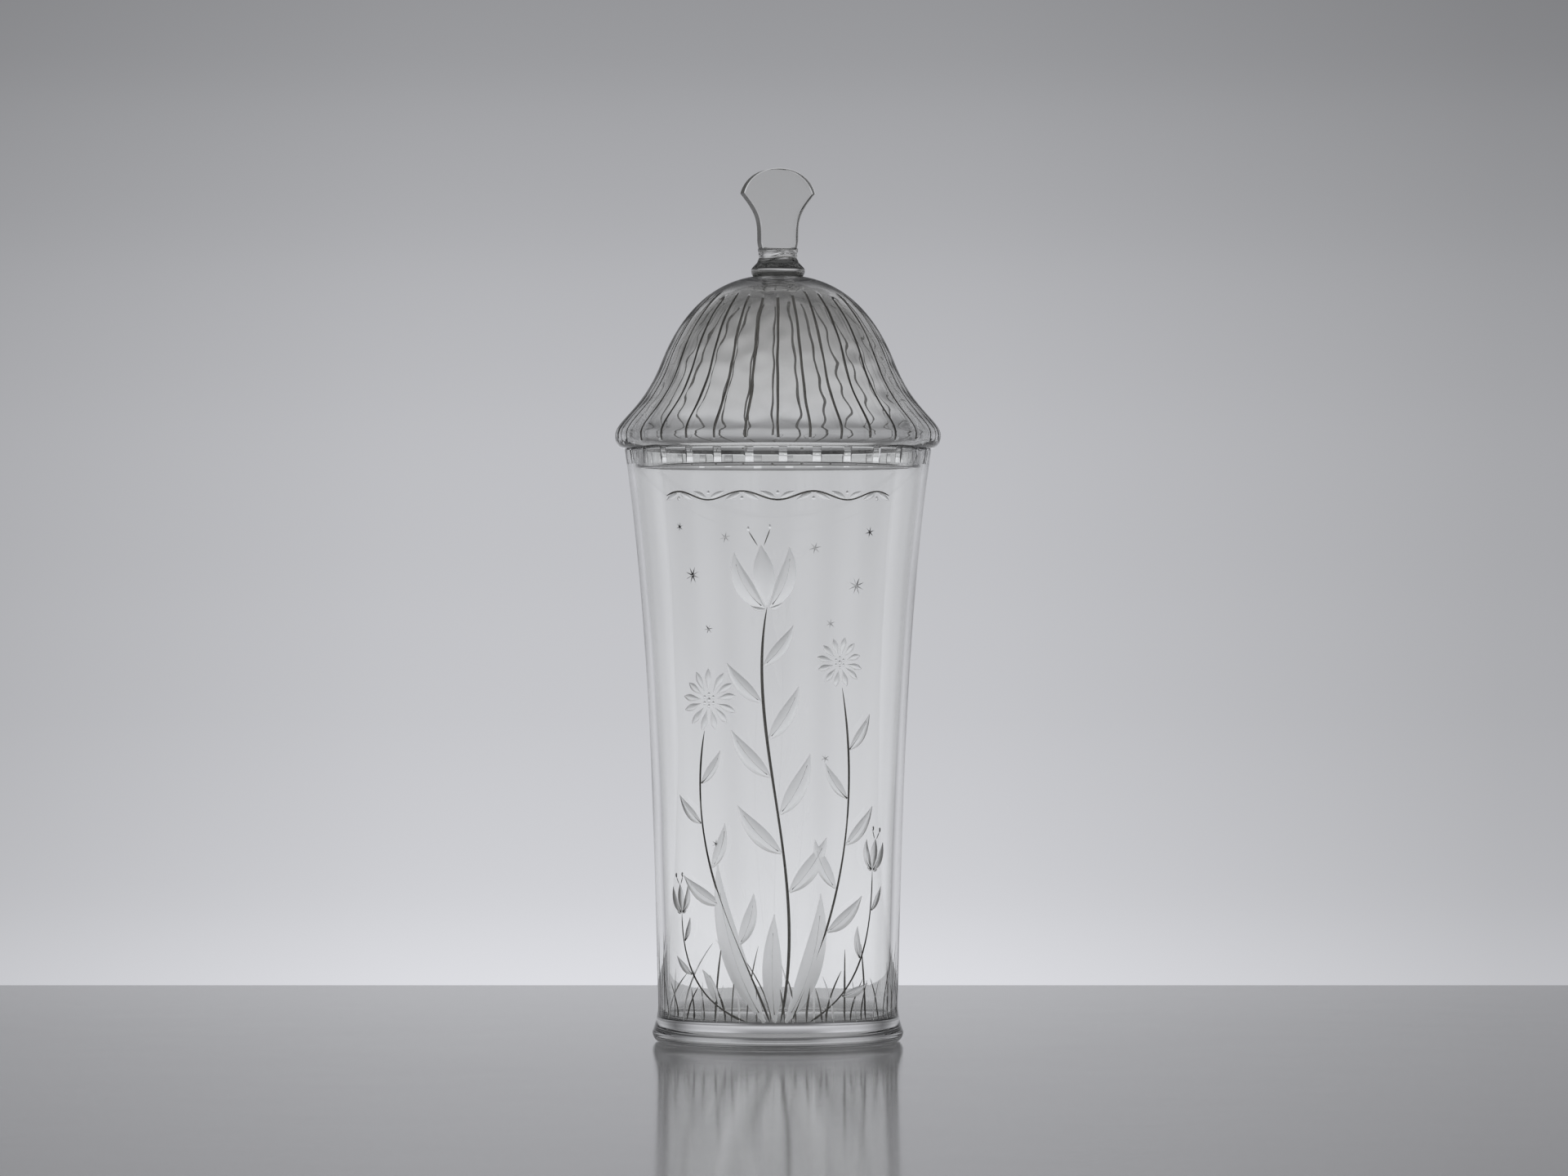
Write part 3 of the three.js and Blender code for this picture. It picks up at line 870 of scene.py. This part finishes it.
    def grass(self, low, high, count, tall):
        """Blades of grass from the ground, leaning both ways."""
        ground = 0.0098
        for i in range(count):
            across = low + (high - low) * (i + self.draw.uniform(0.1, 0.9)) / count
            size = tall * self.draw.uniform(0.35, 1.0)
            t = np.linspace(0, 1, max(8, int(size / self.LONG_STEP)))
            lean = self.draw.normal(0, 0.25)
            line = np.stack((across + size * lean * t**1.7, ground + size * t), -1)
            width = self.draw.uniform(0.0005, 0.0010)
            # Two blades in three take the ground flute finish, whose near-black tint is painted shade.
            self.stem(line, width, width * 0.45, FLUTE_PAINTED_SHADE if i % 3 else MATTE, (0.1, 0.6))

    def layers(self):
        """Sorts the cuts into layers in which no cut touches another."""
        made = []
        for cut in self.cuts:
            for layer in made:
                if not any(cut.near(other) for other in layer):
                    layer.append(cut)
                    break
            else:
                made.append([cut])
        return made

    def apply(self, jar):
        """Takes all cuts out of the wall, one layer after another."""
        for layer in self.layers():
            points, faces, numbers = [], [], []
            for cut in layer:
                start = len(points)
                points += cut.points.tolist()
                faces += [[start + corner for corner in face] for face in cut.faces]
                numbers += [cut.number] * len(cut.faces)
            tool = mesh_object("wheel_cuts", points, faces, glass_materials(), numbers)
            combine(jar, tool, "DIFFERENCE")


def engrave_plants(jar):
    """Cuts flowering plants, grass and stars into the front of the jar."""
    wheel = Wheel(WallMap(bpy.context.scene.vase_sizes))
    mm = 0.001

    def at(*pairs):
        """Places on the wall, from millimetres."""
        return [(across * mm, up * mm) for across, up in pairs]

    tall = wheel.plant(at((1, 10), (13, 66), (-13, 116), (-4, 164)), 0.0010, 7, 0.030)
    wheel.tulip(tall[-1], -0.1, 0.024)
    left = wheel.plant(at((-3, 10), (-16, 44), (-38, 74), (-29, 118)), 0.0008, 5, 0.023)
    wheel.daisy(left[-1] + (0.002, 0.0115), 0.0115, 13)
    right = wheel.plant(at((5, 10), (22, 48), (34, 84), (25, 134)), 0.0008, 5, 0.024)
    wheel.daisy(right[-1] + (-0.001, 0.0095), 0.0095, 12, 0.2)
    low = wheel.plant(at((12, 10), (30, 20), (40, 36), (40, 66)), 0.0007, 3, 0.016, 0.6)
    wheel.tulip(low[-1], 0.15, 0.012)
    bud = wheel.plant(at((-12, 10), (-30, 16), (-41, 30), (-41, 50)), 0.0007, 3, 0.015, 0.6)
    wheel.tulip(bud[-1], -0.1, 0.011)
    blades = ((-5, -0.42, 62, 9.0, 0.55), (3, 0.40, 50, 8.5, -0.6), (-1, -0.05, 40, 7.5, 0.2))
    for across, heading, size, width, bend in blades:
        blade = wheel.leaf(*at((across, 10)), heading, size * mm, width * mm, bend, 0.00055, 0.3, 0.45)
        wheel.vein(blade, 0.0005)
    stars = (
        (-34, 176, 3.2, 8), (-20, 190, 2.2, 6), (14, 186, 2.4, 6), (31, 172, 3.4, 8), (-27, 156, 2.0, 6),
        (20, 158, 2.0, 6), (37, 192, 2.2, 6), (-40, 194, 1.8, 6), (-24, 76, 1.8, 6), (18, 108, 1.8, 6),
    )
    for across, up, reach, rays in stars:
        wheel.star(*at((across, up)), reach * mm, rays, wheel.draw.uniform(0, 0.5))
    wheel.garland(-0.047, 0.047, 0.2055, 7)
    wheel.grass(-0.078, 0.078, 52, 0.032)
    wheel.apply(jar)


def read(items, name, kind=np.int32, width=1):
    """One attribute of all items of a mesh, as an array."""
    values = np.empty(len(items) * width, kind)
    items.foreach_get(name, values)
    return values.reshape(-1, width) if width > 1 else values


def true_wall(jar):
    """Gives the uncut wall its exact directions, so that no facet shows in what is seen through it."""
    sizes = bpy.context.scene.vase_sizes
    wall = WallMap(sizes)
    mesh = jar.data
    normal = read(mesh.corner_normals, "vector", np.float32, 3)
    corner = read(mesh.loops, "vertex_index")
    place = read(mesh.vertices, "co", np.float32, 3)[corner]
    total = read(mesh.polygons, "loop_total")
    finish = read(mesh.polygons, "material_index")
    x, y, z = place.astype(float).T
    angle = np.arctan2(x, -y)
    radius = np.hypot(x, y)
    below_rim, nearness, small = 0.0005, 0.00004, 0.0002
    inside = (z > sizes.waist_height) & (z < sizes.height - below_rim)
    on_wall = inside & (np.abs(radius - wall.surface(angle, z)) < nearness)
    face = np.repeat(np.arange(len(total)), total)
    plain = np.bincount(face, on_wall, len(total)) == total
    plain &= finish == CLEAR
    chosen = plain[face]
    rise = (wall.surface(angle, z + small) - wall.surface(angle, z - small)) / (2 * small)
    swing = (wall.surface(angle + small, z) - wall.surface(angle - small, z)) / (2 * small)
    swing /= np.maximum(radius, small)
    out = np.stack((np.sin(angle), -np.cos(angle), np.zeros(len(x))), -1)
    side = np.stack((np.cos(angle), np.sin(angle), np.zeros(len(x))), -1)
    true = out - side * swing[:, None] - np.array((0, 0, 1)) * rise[:, None]
    true /= np.linalg.norm(true, axis=1)[:, None]
    normal[chosen] = true[chosen]
    mesh.normals_split_custom_set(normal)


class VASE_OT_make_vase(bpy.types.Operator):
    """Makes the jar with its foot, its notched rim and the cut plants"""

    bl_idname = "covered_vase.make_vase"
    bl_label = "Make the vase"

    def execute(self, context):
        """Builds the jar, cuts it and puts it on its body."""
        jar = make_jar()
        cut_notches(jar)
        engrave_plants(jar)
        smooth(jar, math.radians(12))
        true_wall(jar)
        finish_piece(jar, "vase", ("vase_body", "foot"))
        return {"FINISHED"}


def cover_profile(sizes, vase):
    """The outline of the bell in three runs: up the outside, round the collar, and up the inside."""
    seat = SEAT_GAP / 2
    lip = np.array((sizes.lip_radius, sizes.lip_height))
    shoulder = np.array((sizes.shoulder_radius, sizes.shoulder_height))
    land = np.array((sizes.land_radius, sizes.height))
    flare_rise = shoulder[1] - lip[1]
    dome_rise = land[1] - shoulder[1]
    lean = np.array((sizes.shoulder_slope, -1.0))
    flat = np.array((1.0, -sizes.land_slope))
    lip_pull, flare_pull, dome_pull, land_pull = 0.21, 0.63, 0.22, 0.69
    flare_pulls = (lip + (0, lip_pull * flare_rise), shoulder + lean * flare_pull * flare_rise)
    dome_pulls = (shoulder - lean * dome_pull * dome_rise, land + flat * land_pull * dome_rise)
    bell = np.concatenate((bow(lip, *flare_pulls, shoulder, 34), bow(shoulder, *dome_pulls, land, 44)))
    seat_edge = (vase.rim_radius, seat)
    outside = np.concatenate((quarter(seat_edge, (lip[0], seat), lip, 12), bell))
    inside = bell + left_of(tangents(bell)) * sizes.wall
    collar_wall, clear_ledge, middle = 0.0026, 0.004, 0.0005
    ledge_pull, wall_pull = (0.0002, 0.0013), 0.0015
    collar_low = COLLAR_LOW.z - DOME_LOW.z
    outer = np.array((COLLAR_HIGH.x, collar_low))
    inner = np.array((COLLAR_HIGH.x - collar_wall, collar_low))
    above = np.array((inner[0], sizes.ledge_height))
    ledge = above + (sizes.ledge_width, 0)
    inside = inside[
        (inside[:, 1] > ledge[1] + clear_ledge) & (inside[:, 0] < ledge[0]) & (inside[:, 0] > middle)
    ]
    lean = (inside[1] - inside[0]) / np.linalg.norm(inside[1] - inside[0])
    lower = bow(ledge, ledge + ledge_pull, inside[0] - lean * wall_pull, inside[0], 10)
    inside = np.concatenate((lower, inside[1:]))
    inside[:, 1] -= sizes.top_drop * np.exp(-((inside[:, 0] / sizes.drop_radius) ** 6))
    soft = 0.0006
    aside, up = np.array((soft, 0)), np.array((0, soft))
    under = np.concatenate((
        straight(seat_edge, (outer[0], seat), 3),
        straight((outer[0], seat), outer + up, 4),
        quarter(outer + up, outer, outer - aside, 4),
        straight(outer - aside, inner + aside),
        quarter(inner + aside, inner, inner + up, 4),
        straight(inner + up, above - up, 6),
        quarter(above - up, above, above + aside, 4),
        straight(above + aside, ledge, 3),
    ))
    return outside, under, inside


def flute_columns(sizes):
    """Columns round the bell: the number of each one's flute, and its place in the flute and past it."""
    cut = np.linspace(-1, 1, 7)
    land = np.linspace(0, 1, 6)[1:-1]
    number = np.repeat(np.arange(sizes.flute_count), len(cut) + len(land))
    across = np.tile(np.concatenate((cut, np.ones(len(land)))), sizes.flute_count)
    beyond = np.tile(np.concatenate((np.zeros(len(cut)), land)), sizes.flute_count)
    return number, across, beyond


def make_bell():
    """The bell with its flutes, lip, ledge and collar as one closed skin."""
    sizes = bpy.context.scene.cover_sizes
    vase = bpy.context.scene.vase_sizes
    outside, under, inside = cover_profile(sizes, vase)
    number, across, beyond = flute_columns(sizes)
    draw = np.random.default_rng(3)
    count = sizes.flute_count
    pitch = TURN / count
    top_error, foot_error, wander_width, swell_share = 0.0012, 0.0004, 0.00012, 0.12
    least_radius, widest_share, bulge_length = 0.006, 0.3, 0.008
    top = sizes.flute_top + draw.uniform(-top_error, top_error, count)[number]
    foot = sizes.flute_foot + draw.uniform(-foot_error, foot_error, count)[number]
    wander = waves(7, 5, (40, 90), (0.012, 0.05))
    swell = waves(8, 5, (40, 90), (0.008, 0.03))
    radius, height = outside[:, :1], outside[:, 1:]
    round_radius = np.maximum(radius, least_radius)
    centre = number * pitch
    centre = centre + sizes.flute_drift * (1 - np.cos(centre))
    shift = wander_width * wander(centre, height) / round_radius
    half = sizes.flute_width / 2 * (1 + swell_share * swell(centre, height)) / round_radius
    half = np.minimum(half, pitch * widest_share)
    angle = centre + shift + half * across + beyond * (pitch - 2 * half)
    taper = sizes.flute_taper
    fade = np.minimum(ramp(height - foot, taper), ramp(top - height, taper)) ** 0.6
    in_flute = beyond == 0
    depth = sizes.flute_depth * fade * (1 - np.abs(across) ** 1.6) * in_flute
    inward = left_of(tangents(outside))
    outer = ring_points(radius + inward[:, :1] * depth, angle, height + inward[:, 1:] * depth)
    plain = (centre + half[0] * across + beyond * (pitch - 2 * half[0]))[None]
    below = ring_points(under[:, :1], plain, under[:, 1:])
    ripple = waves(31, 14, (3, 20), (0.007, 0.020))
    bulge = ramp(inside[:, 1:] - sizes.ledge_height, bulge_length)
    inner_radius = inside[:, :1] + sizes.ripple * ripple(plain, inside[:, 1:]) * bulge
    inner = ring_points(inner_radius, plain, inside[:, 1:])
    rings = np.concatenate((outer[::-1], below, inner))
    points, faces = capped(rings, (0, 0, sizes.height), (0, 0, inside[-1, 1]))
    numbers = np.full((len(rings) + 1, len(number)), CLEAR)
    deep = fade[::-1] > 0
    in_cut = in_flute & (across < 1)
    # The flutes take the ground flute finish, whose near-black tint is painted shade.
    numbers[:len(outer) - 1] = np.where(deep[:-1] & deep[1:] & in_cut, FLUTE_PAINTED_SHADE, CLEAR)
    return glass_object("glass_cover", points, faces, DOME_LOW.z, numbers.ravel())


def make_ring_and_neck():
    """The round ring of glass on the bell, and the folded neck with flats ground into its top."""
    sizes = bpy.context.scene.finial_sizes
    cover = bpy.context.scene.cover_sizes
    top = sizes.ring_height + sizes.neck_height
    waist = sizes.ring_height + sizes.neck_waist
    sink, foot_slope, soft, crown = -0.0015, 0.001, 0.0004, 0.0001
    under = cover.land_radius - 0.0003
    widest = (sizes.ring_radius, sizes.ring_widest)
    ring_edge, ring_pull, waist_pull, neck_pull, shoulder_pull = 0.0003, 0.0018, 0.0032, 0.0012, 0.0013
    neck = sizes.neck_radius
    shoulder = (neck + soft, top - soft)
    profile = np.concatenate((
        straight((0, sink), (under - foot_slope, sink), 2),
        straight((under - foot_slope, sink), (under, 0), 2),
        quarter((under, 0), (sizes.ring_radius, ring_edge), widest, 12),
        bow(widest, (widest[0], widest[1] + ring_pull), (neck, waist - waist_pull), (neck, waist), 30),
        bow((neck, waist), (neck, waist + neck_pull), (neck + soft, waist + shoulder_pull), shoulder, 36),
        straight(shoulder, (neck - soft, top), 3),
        straight((neck - soft, top), (soft, top + crown), 4),
    ))
    columns = 192
    angle = np.arange(columns) * TURN / columns
    wave = waves(41, 6, (1, 3), (0.008, 0.03))
    swing = waves(43, 5, (1, 5), (0.006, 0.03))
    height = profile[:, 1:]
    wave_share, wave_start, wave_length = 0.010, 0.0005, 0.002
    fold_start, fold_end, fold_fade = 0.0008, 0.0012, 0.001
    uneven = 1 + wave_share * wave(angle, height) * ramp(height - wave_start, wave_length)
    folds = ramp(height - sizes.ring_height + fold_start, fold_fade)
    folds = folds * ramp(top - fold_end - height, fold_fade)
    crease = np.sin(TURN * (height + sizes.fold_swing * swing(angle, height)) / sizes.fold_pitch)
    radius = profile[:, :1] * uneven + sizes.fold_depth * folds * crease
    rings = ring_points(radius, angle + sizes.paddle_turn, height)
    flats = ramp(height - top + sizes.flat_rise, sizes.flat_rise)
    sunk, round_reach, far = 0.00002, 0.001, 1.0
    half = sizes.thickness / 2 - sunk
    reach = np.where(flats > 0, half + (neck + round_reach - half) * (1 - flats**0.5) ** 1.5, far)
    across = radius * np.sin(angle)
    depth = np.clip(-radius * np.cos(angle), -reach, reach)
    cosine, sine = math.cos(sizes.paddle_turn), math.sin(sizes.paddle_turn)
    along, away = np.array((cosine, sine)), np.array((-sine, cosine))
    rings[..., :2] = across[..., None] * along + depth[..., None] * away
    points, faces = capped(rings, (0, 0, sink), (0, 0, profile[-1, 1]))
    return glass_object("neck", points, faces, RING_LOW.z)


def paddle_half(sizes, inset):
    """The right half of the paddle's outline from its root to the middle of its top."""
    stem = sizes.stem_width / 2 - inset
    width = sizes.width / 2 - inset
    top = sizes.height - inset
    crown = top - sizes.corner_height
    root = (stem - 0.0012, 0.0035)
    root_pulls = ((stem - 0.0008, root[1] + 0.001), (stem, root[1] + 0.0025))
    stem_foot = (stem, 0.0085)
    stem_top = (stem, sizes.stem_height)
    corner = (width, sizes.corner_height)
    pull = 0.42 * (sizes.corner_height - sizes.stem_height)
    side_pulls = ((stem, stem_top[1] + pull), (width - 0.83 * pull, corner[1] - pull))
    crown_pulls = ((width * 0.9, corner[1] + crown * 0.55), (width * 0.55, top))
    return np.concatenate((
        [root],
        bow(root, *root_pulls, stem_foot, 8),
        straight(stem_foot, stem_top),
        bow(stem_top, *side_pulls, corner, 22),
        bow(corner, *crown_pulls, (0, top), 26),
    ))


def make_paddle():
    """The flat paddle with bevelled edges, turned a little from the front."""
    sizes = bpy.context.scene.finial_sizes
    layers = []
    half = sizes.thickness / 2
    flat = half - sizes.bevel
    for inset, depth in ((sizes.bevel, -half), (0, -flat), (0, flat), (sizes.bevel, half)):
        right = paddle_half(sizes, inset)
        left = right[:-1][::-1] * (-1, 1)
        outline = np.concatenate((right, left))
        layers.append(np.stack((outline[:, 0], np.full(len(outline), depth), outline[:, 1]), -1))
    rings = np.stack(layers)
    rows, columns, _ = rings.shape
    cosine, sine = math.cos(sizes.paddle_turn), math.sin(sizes.paddle_turn)
    points = rings.reshape(-1, 3) @ np.array(((cosine, sine, 0), (-sine, cosine, 0), (0, 0, 1)))
    faces = ring_faces(rows, columns).tolist()
    faces.append(list(range(columns))[::-1])
    faces.append([(rows - 1) * columns + i for i in range(columns)])
    # The paddle's sides take the ground side finish, whose near-black tint is painted shade.
    numbers = [*np.repeat((CLEAR, SIDE_PAINTED_SHADE, CLEAR), columns), CLEAR, CLEAR]
    return glass_object("paddle", points, faces, PADDLE_LOW.z, numbers)


class VASE_OT_make_cover(bpy.types.Operator):
    """Makes the fluted cover with its collar and its paddle finial"""

    bl_idname = "covered_vase.make_cover"
    bl_label = "Make the cover"

    def execute(self, context):
        """Builds the cover, joins the finial to it and puts it on its body."""
        cover = make_bell()
        combine(cover, make_ring_and_neck(), "UNION")
        combine(cover, make_paddle(), "UNION")
        smooth(cover, math.radians(28))
        finish_piece(cover, "cover", ("cover_dome", "cover_collar", "finial_merese", "finial_paddle"))
        return {"FINISHED"}


def backdrop(shade, through):
    """The lit background for each direction: brightest low down, darker up and aside."""
    direction = shade.node("ShaderNodeTexCoord", output="Generated")
    swing = {"Vector": direction, "Angle": math.radians(-0.85)}
    turned = shade.node("ShaderNodeVectorRotate", {"rotation_type": "Z_AXIS"}, swing)
    x, y, z = [shade.axis(turned, i) for i in range(3)]
    # The brightness straight ahead, by the upward part of the direction.
    level = shade.levels(z, (
        (-0.25, 0.55), (-0.10, 0.76), (-0.061, 0.73), (-0.048, 0.645), (-0.023, 0.58), (0.0, 0.547),
        (0.028, 0.51), (0.053, 0.435), (0.08, 0.335), (0.15, 0.19), (0.30, 0.13), (0.50, 0.20), (0.80, 0.26),
    ))
    side = x.math("ABSOLUTE").math("MAXIMUM", y.math("ABSOLUTE"))
    flat = (x * x + y * y).math("SQRT").math("MAXIMUM", 0.0001)
    aside = (side / flat).math("MINIMUM", 1.0).math("ARCCOSINE") / math.radians(45)
    # What is left of it to the side, up to 45 degrees, where it is seen and where the glass bends it.
    seen = ((0.0, 1.0), (0.07, 0.95), (0.16, 0.74), (0.32, 0.62), (1.0, 0.52))
    bent = ((0.0, 1.0), (0.20, 1.0), (0.45, 0.94), (0.65, 0.86), (0.82, 0.55), (1.0, 0.28))
    falls = [shade.node("ShaderNodeValToRGB", {"stops": stops}, {0: aside}) for stops in (seen, bent)]
    # Two lamps beside the picture, which only the glass shows.
    lamps = shade.span(aside, 0.15, 0.45, soft=True) * shade.span(z, 0.03, 0.14, 0.0, 0.35, soft=True)
    return level + lamps * through, shade.mix(through, *falls)


def light_the_world():
    """A soft white light on everything, and a graded background where it is seen or mirrored."""
    world = bpy.data.worlds.new("studio")
    bpy.context.scene.world = world
    shade = Shade(world)
    kinds = ("Is Camera Ray", "Is Glossy Ray", "Is Transmission Ray", "Glossy Depth", "Transmission Depth")
    rays = [shade.node("ShaderNodeLightPath", output=kind) for kind in kinds]
    seen, glossy, bent, mirrors, depth = rays
    black, white, plain = rgba((0, 0, 0)), rgba((0.992, 0.999, 1.045)), rgba((0.9, 0.9, 0.9))
    inside_loss, through_gain, mirror_gain = 0.75, 0.07, 0.13
    through = depth.math("MINIMUM", 1.0)
    level, fall = backdrop(shade, through)
    background = shade.mix(1.0, level, shade.mix(fall, black, white), "MULTIPLY")
    inside = shade.span(mirrors, 0.5, 3.0, 0.0, inside_loss, soft=True)
    background = shade.mix(inside * through, background, black)
    shown = seen.math("MAXIMUM", glossy).math("MAXIMUM", bent)
    glow = shade.mix(shown, plain, background)
    mirrored = mirrors.math("MINIMUM", 1.0)
    strength = through * through_gain + mirrored * mirror_gain + 1.0
    lit = shade.node("ShaderNodeBackground", None, {"Color": glow, "Strength": strength})
    shade.node("ShaderNodeOutputWorld", None, {"Surface": lit})


def table_material(sizes):
    """A polished grey table top with a faint grain and streaks, and painted shade that darkens it to the
    front and the sides.
    """
    material = bpy.data.materials.new("satin_table")
    shade = Shade(material)
    place = shade.place()
    cloud = shade.noise(place, 6.0)
    grain = shade.noise(place, 700.0)
    streak = shade.noise(place, 16.0, 3.0)
    dark_share, near_share, off_axis = 0.52, 0.9, 0.05
    painted_shade = tuple(level * dark_share for level in sizes.table_colour)
    across, away = [shade.axis(place, i) for i in range(2)]
    # Painted shade: the top darkens towards the front and to the sides; the clouds add tone at random.
    front_painted_shade = shade.span(away, 0.3, -0.15, 0.0, near_share)
    aside = shade.span((across + off_axis).math("ABSOLUTE"), 0.0, 0.55, soft=True)
    bump = {"Strength": 0.25, "Distance": 0.0002, "Height": grain}
    polish = {
        "Base Color": shade.mix(cloud * 0.15 + front_painted_shade + aside, rgba(sizes.table_colour), rgba(painted_shade)),
        "Roughness": cloud * 0.04 + 0.055,
        "Coat Weight": streak * 0.4 + 0.75,
        "Coat Roughness": 0.10,
        "Normal": shade.node("ShaderNodeBump", None, bump),
    }
    surface = shade.node("ShaderNodeBsdfPrincipled", None, polish)
    shade.node("ShaderNodeOutputMaterial", None, {"Surface": surface})
    return material


def make_table(sizes):
    """The table top, with its back edge behind the vase."""
    reach, back, thick = sizes.table_reach, sizes.table_back, sizes.table_thickness
    top = -SEAT_GAP
    corners = ((-reach, -reach), (reach, -reach), (reach, back), (-reach, back))
    points = [(x, y, z) for z in (top - thick, top) for x, y in corners]
    faces = [(3, 2, 1, 0), (4, 5, 6, 7), (0, 1, 5, 4), (1, 2, 6, 5), (2, 3, 7, 6), (3, 0, 4, 7)]
    table = mesh_object("table", points, faces, [table_material(sizes)])


def place_camera(sizes):
    """A level camera in front of the vase."""
    camera = bpy.data.cameras.new("camera")
    camera.lens = sizes.lens
    camera.sensor_width = 36
    camera.clip_start = 0.1
    camera.clip_end = 50
    holder = bpy.data.objects.new("camera", camera)
    holder.location = (sizes.eye_shift, -sizes.eye_distance, sizes.eye_height)
    holder.rotation_euler = (math.radians(90), 0, 0)
    bpy.context.scene.collection.objects.link(holder)
    bpy.context.scene.camera = holder


class VASE_OT_make_stage(bpy.types.Operator):
    """Makes the table, the soft light and the camera"""

    bl_idname = "covered_vase.make_stage"
    bl_label = "Make the stage"

    def execute(self, context):
        """Sets how light is followed, and adds the light, the table and the camera."""
        scene = context.scene
        scene.view_settings.view_transform = "Standard"
        scene.cycles.max_bounces = 24
        scene.cycles.transmission_bounces = 20
        scene.cycles.glossy_bounces = 8
        light_the_world()
        make_table(scene.stage_sizes)
        place_camera(scene.stage_sizes)
        return {"FINISHED"}


class VASE_PT_panel(bpy.types.Panel):
    """The sizes of the vase and the steps that build it"""

    bl_label = "Covered vase"
    bl_idname = "VASE_PT_panel"
    bl_space_type = "VIEW_3D"
    bl_region_type = "UI"
    bl_category = "Covered vase"

    def draw(self, context):
        """Shows a button for each step and a field for each size."""
        for step in STEPS:
            self.layout.operator(step.bl_idname)
        for name, group in GROUPS.items():
            box = self.layout.box()
            box.label(text=group.__doc__)
            for field in group.__annotations__:
                box.prop(getattr(context.scene, name), field)


GROUPS = {
    "vase_sizes": VaseSizes,
    "cover_sizes": CoverSizes,
    "finial_sizes": FinialSizes,
    "vase_glass": GlassColours,
    "stage_sizes": StageSizes,
}
STEPS = (VASE_OT_make_stage, VASE_OT_make_vase, VASE_OT_make_cover)


def register():
    """Registers the sizes, the steps and the panel."""
    for kind in (*GROUPS.values(), *STEPS, VASE_PT_panel):
        bpy.utils.register_class(kind)
    for name, group in GROUPS.items():
        setattr(bpy.types.Scene, name, bpy.props.PointerProperty(type=group))


def unregister():
    """Removes the panel, the steps and the sizes again."""
    for name in GROUPS:
        delattr(bpy.types.Scene, name)
    for kind in reversed((*GROUPS.values(), *STEPS, VASE_PT_panel)):
        bpy.utils.unregister_class(kind)


def main():
    """Builds everything in order."""
    register()
    bpy.ops.covered_vase.make_stage()
    bpy.ops.covered_vase.make_vase()
    bpy.ops.covered_vase.make_cover()


if __name__ == "__main__":
    main()
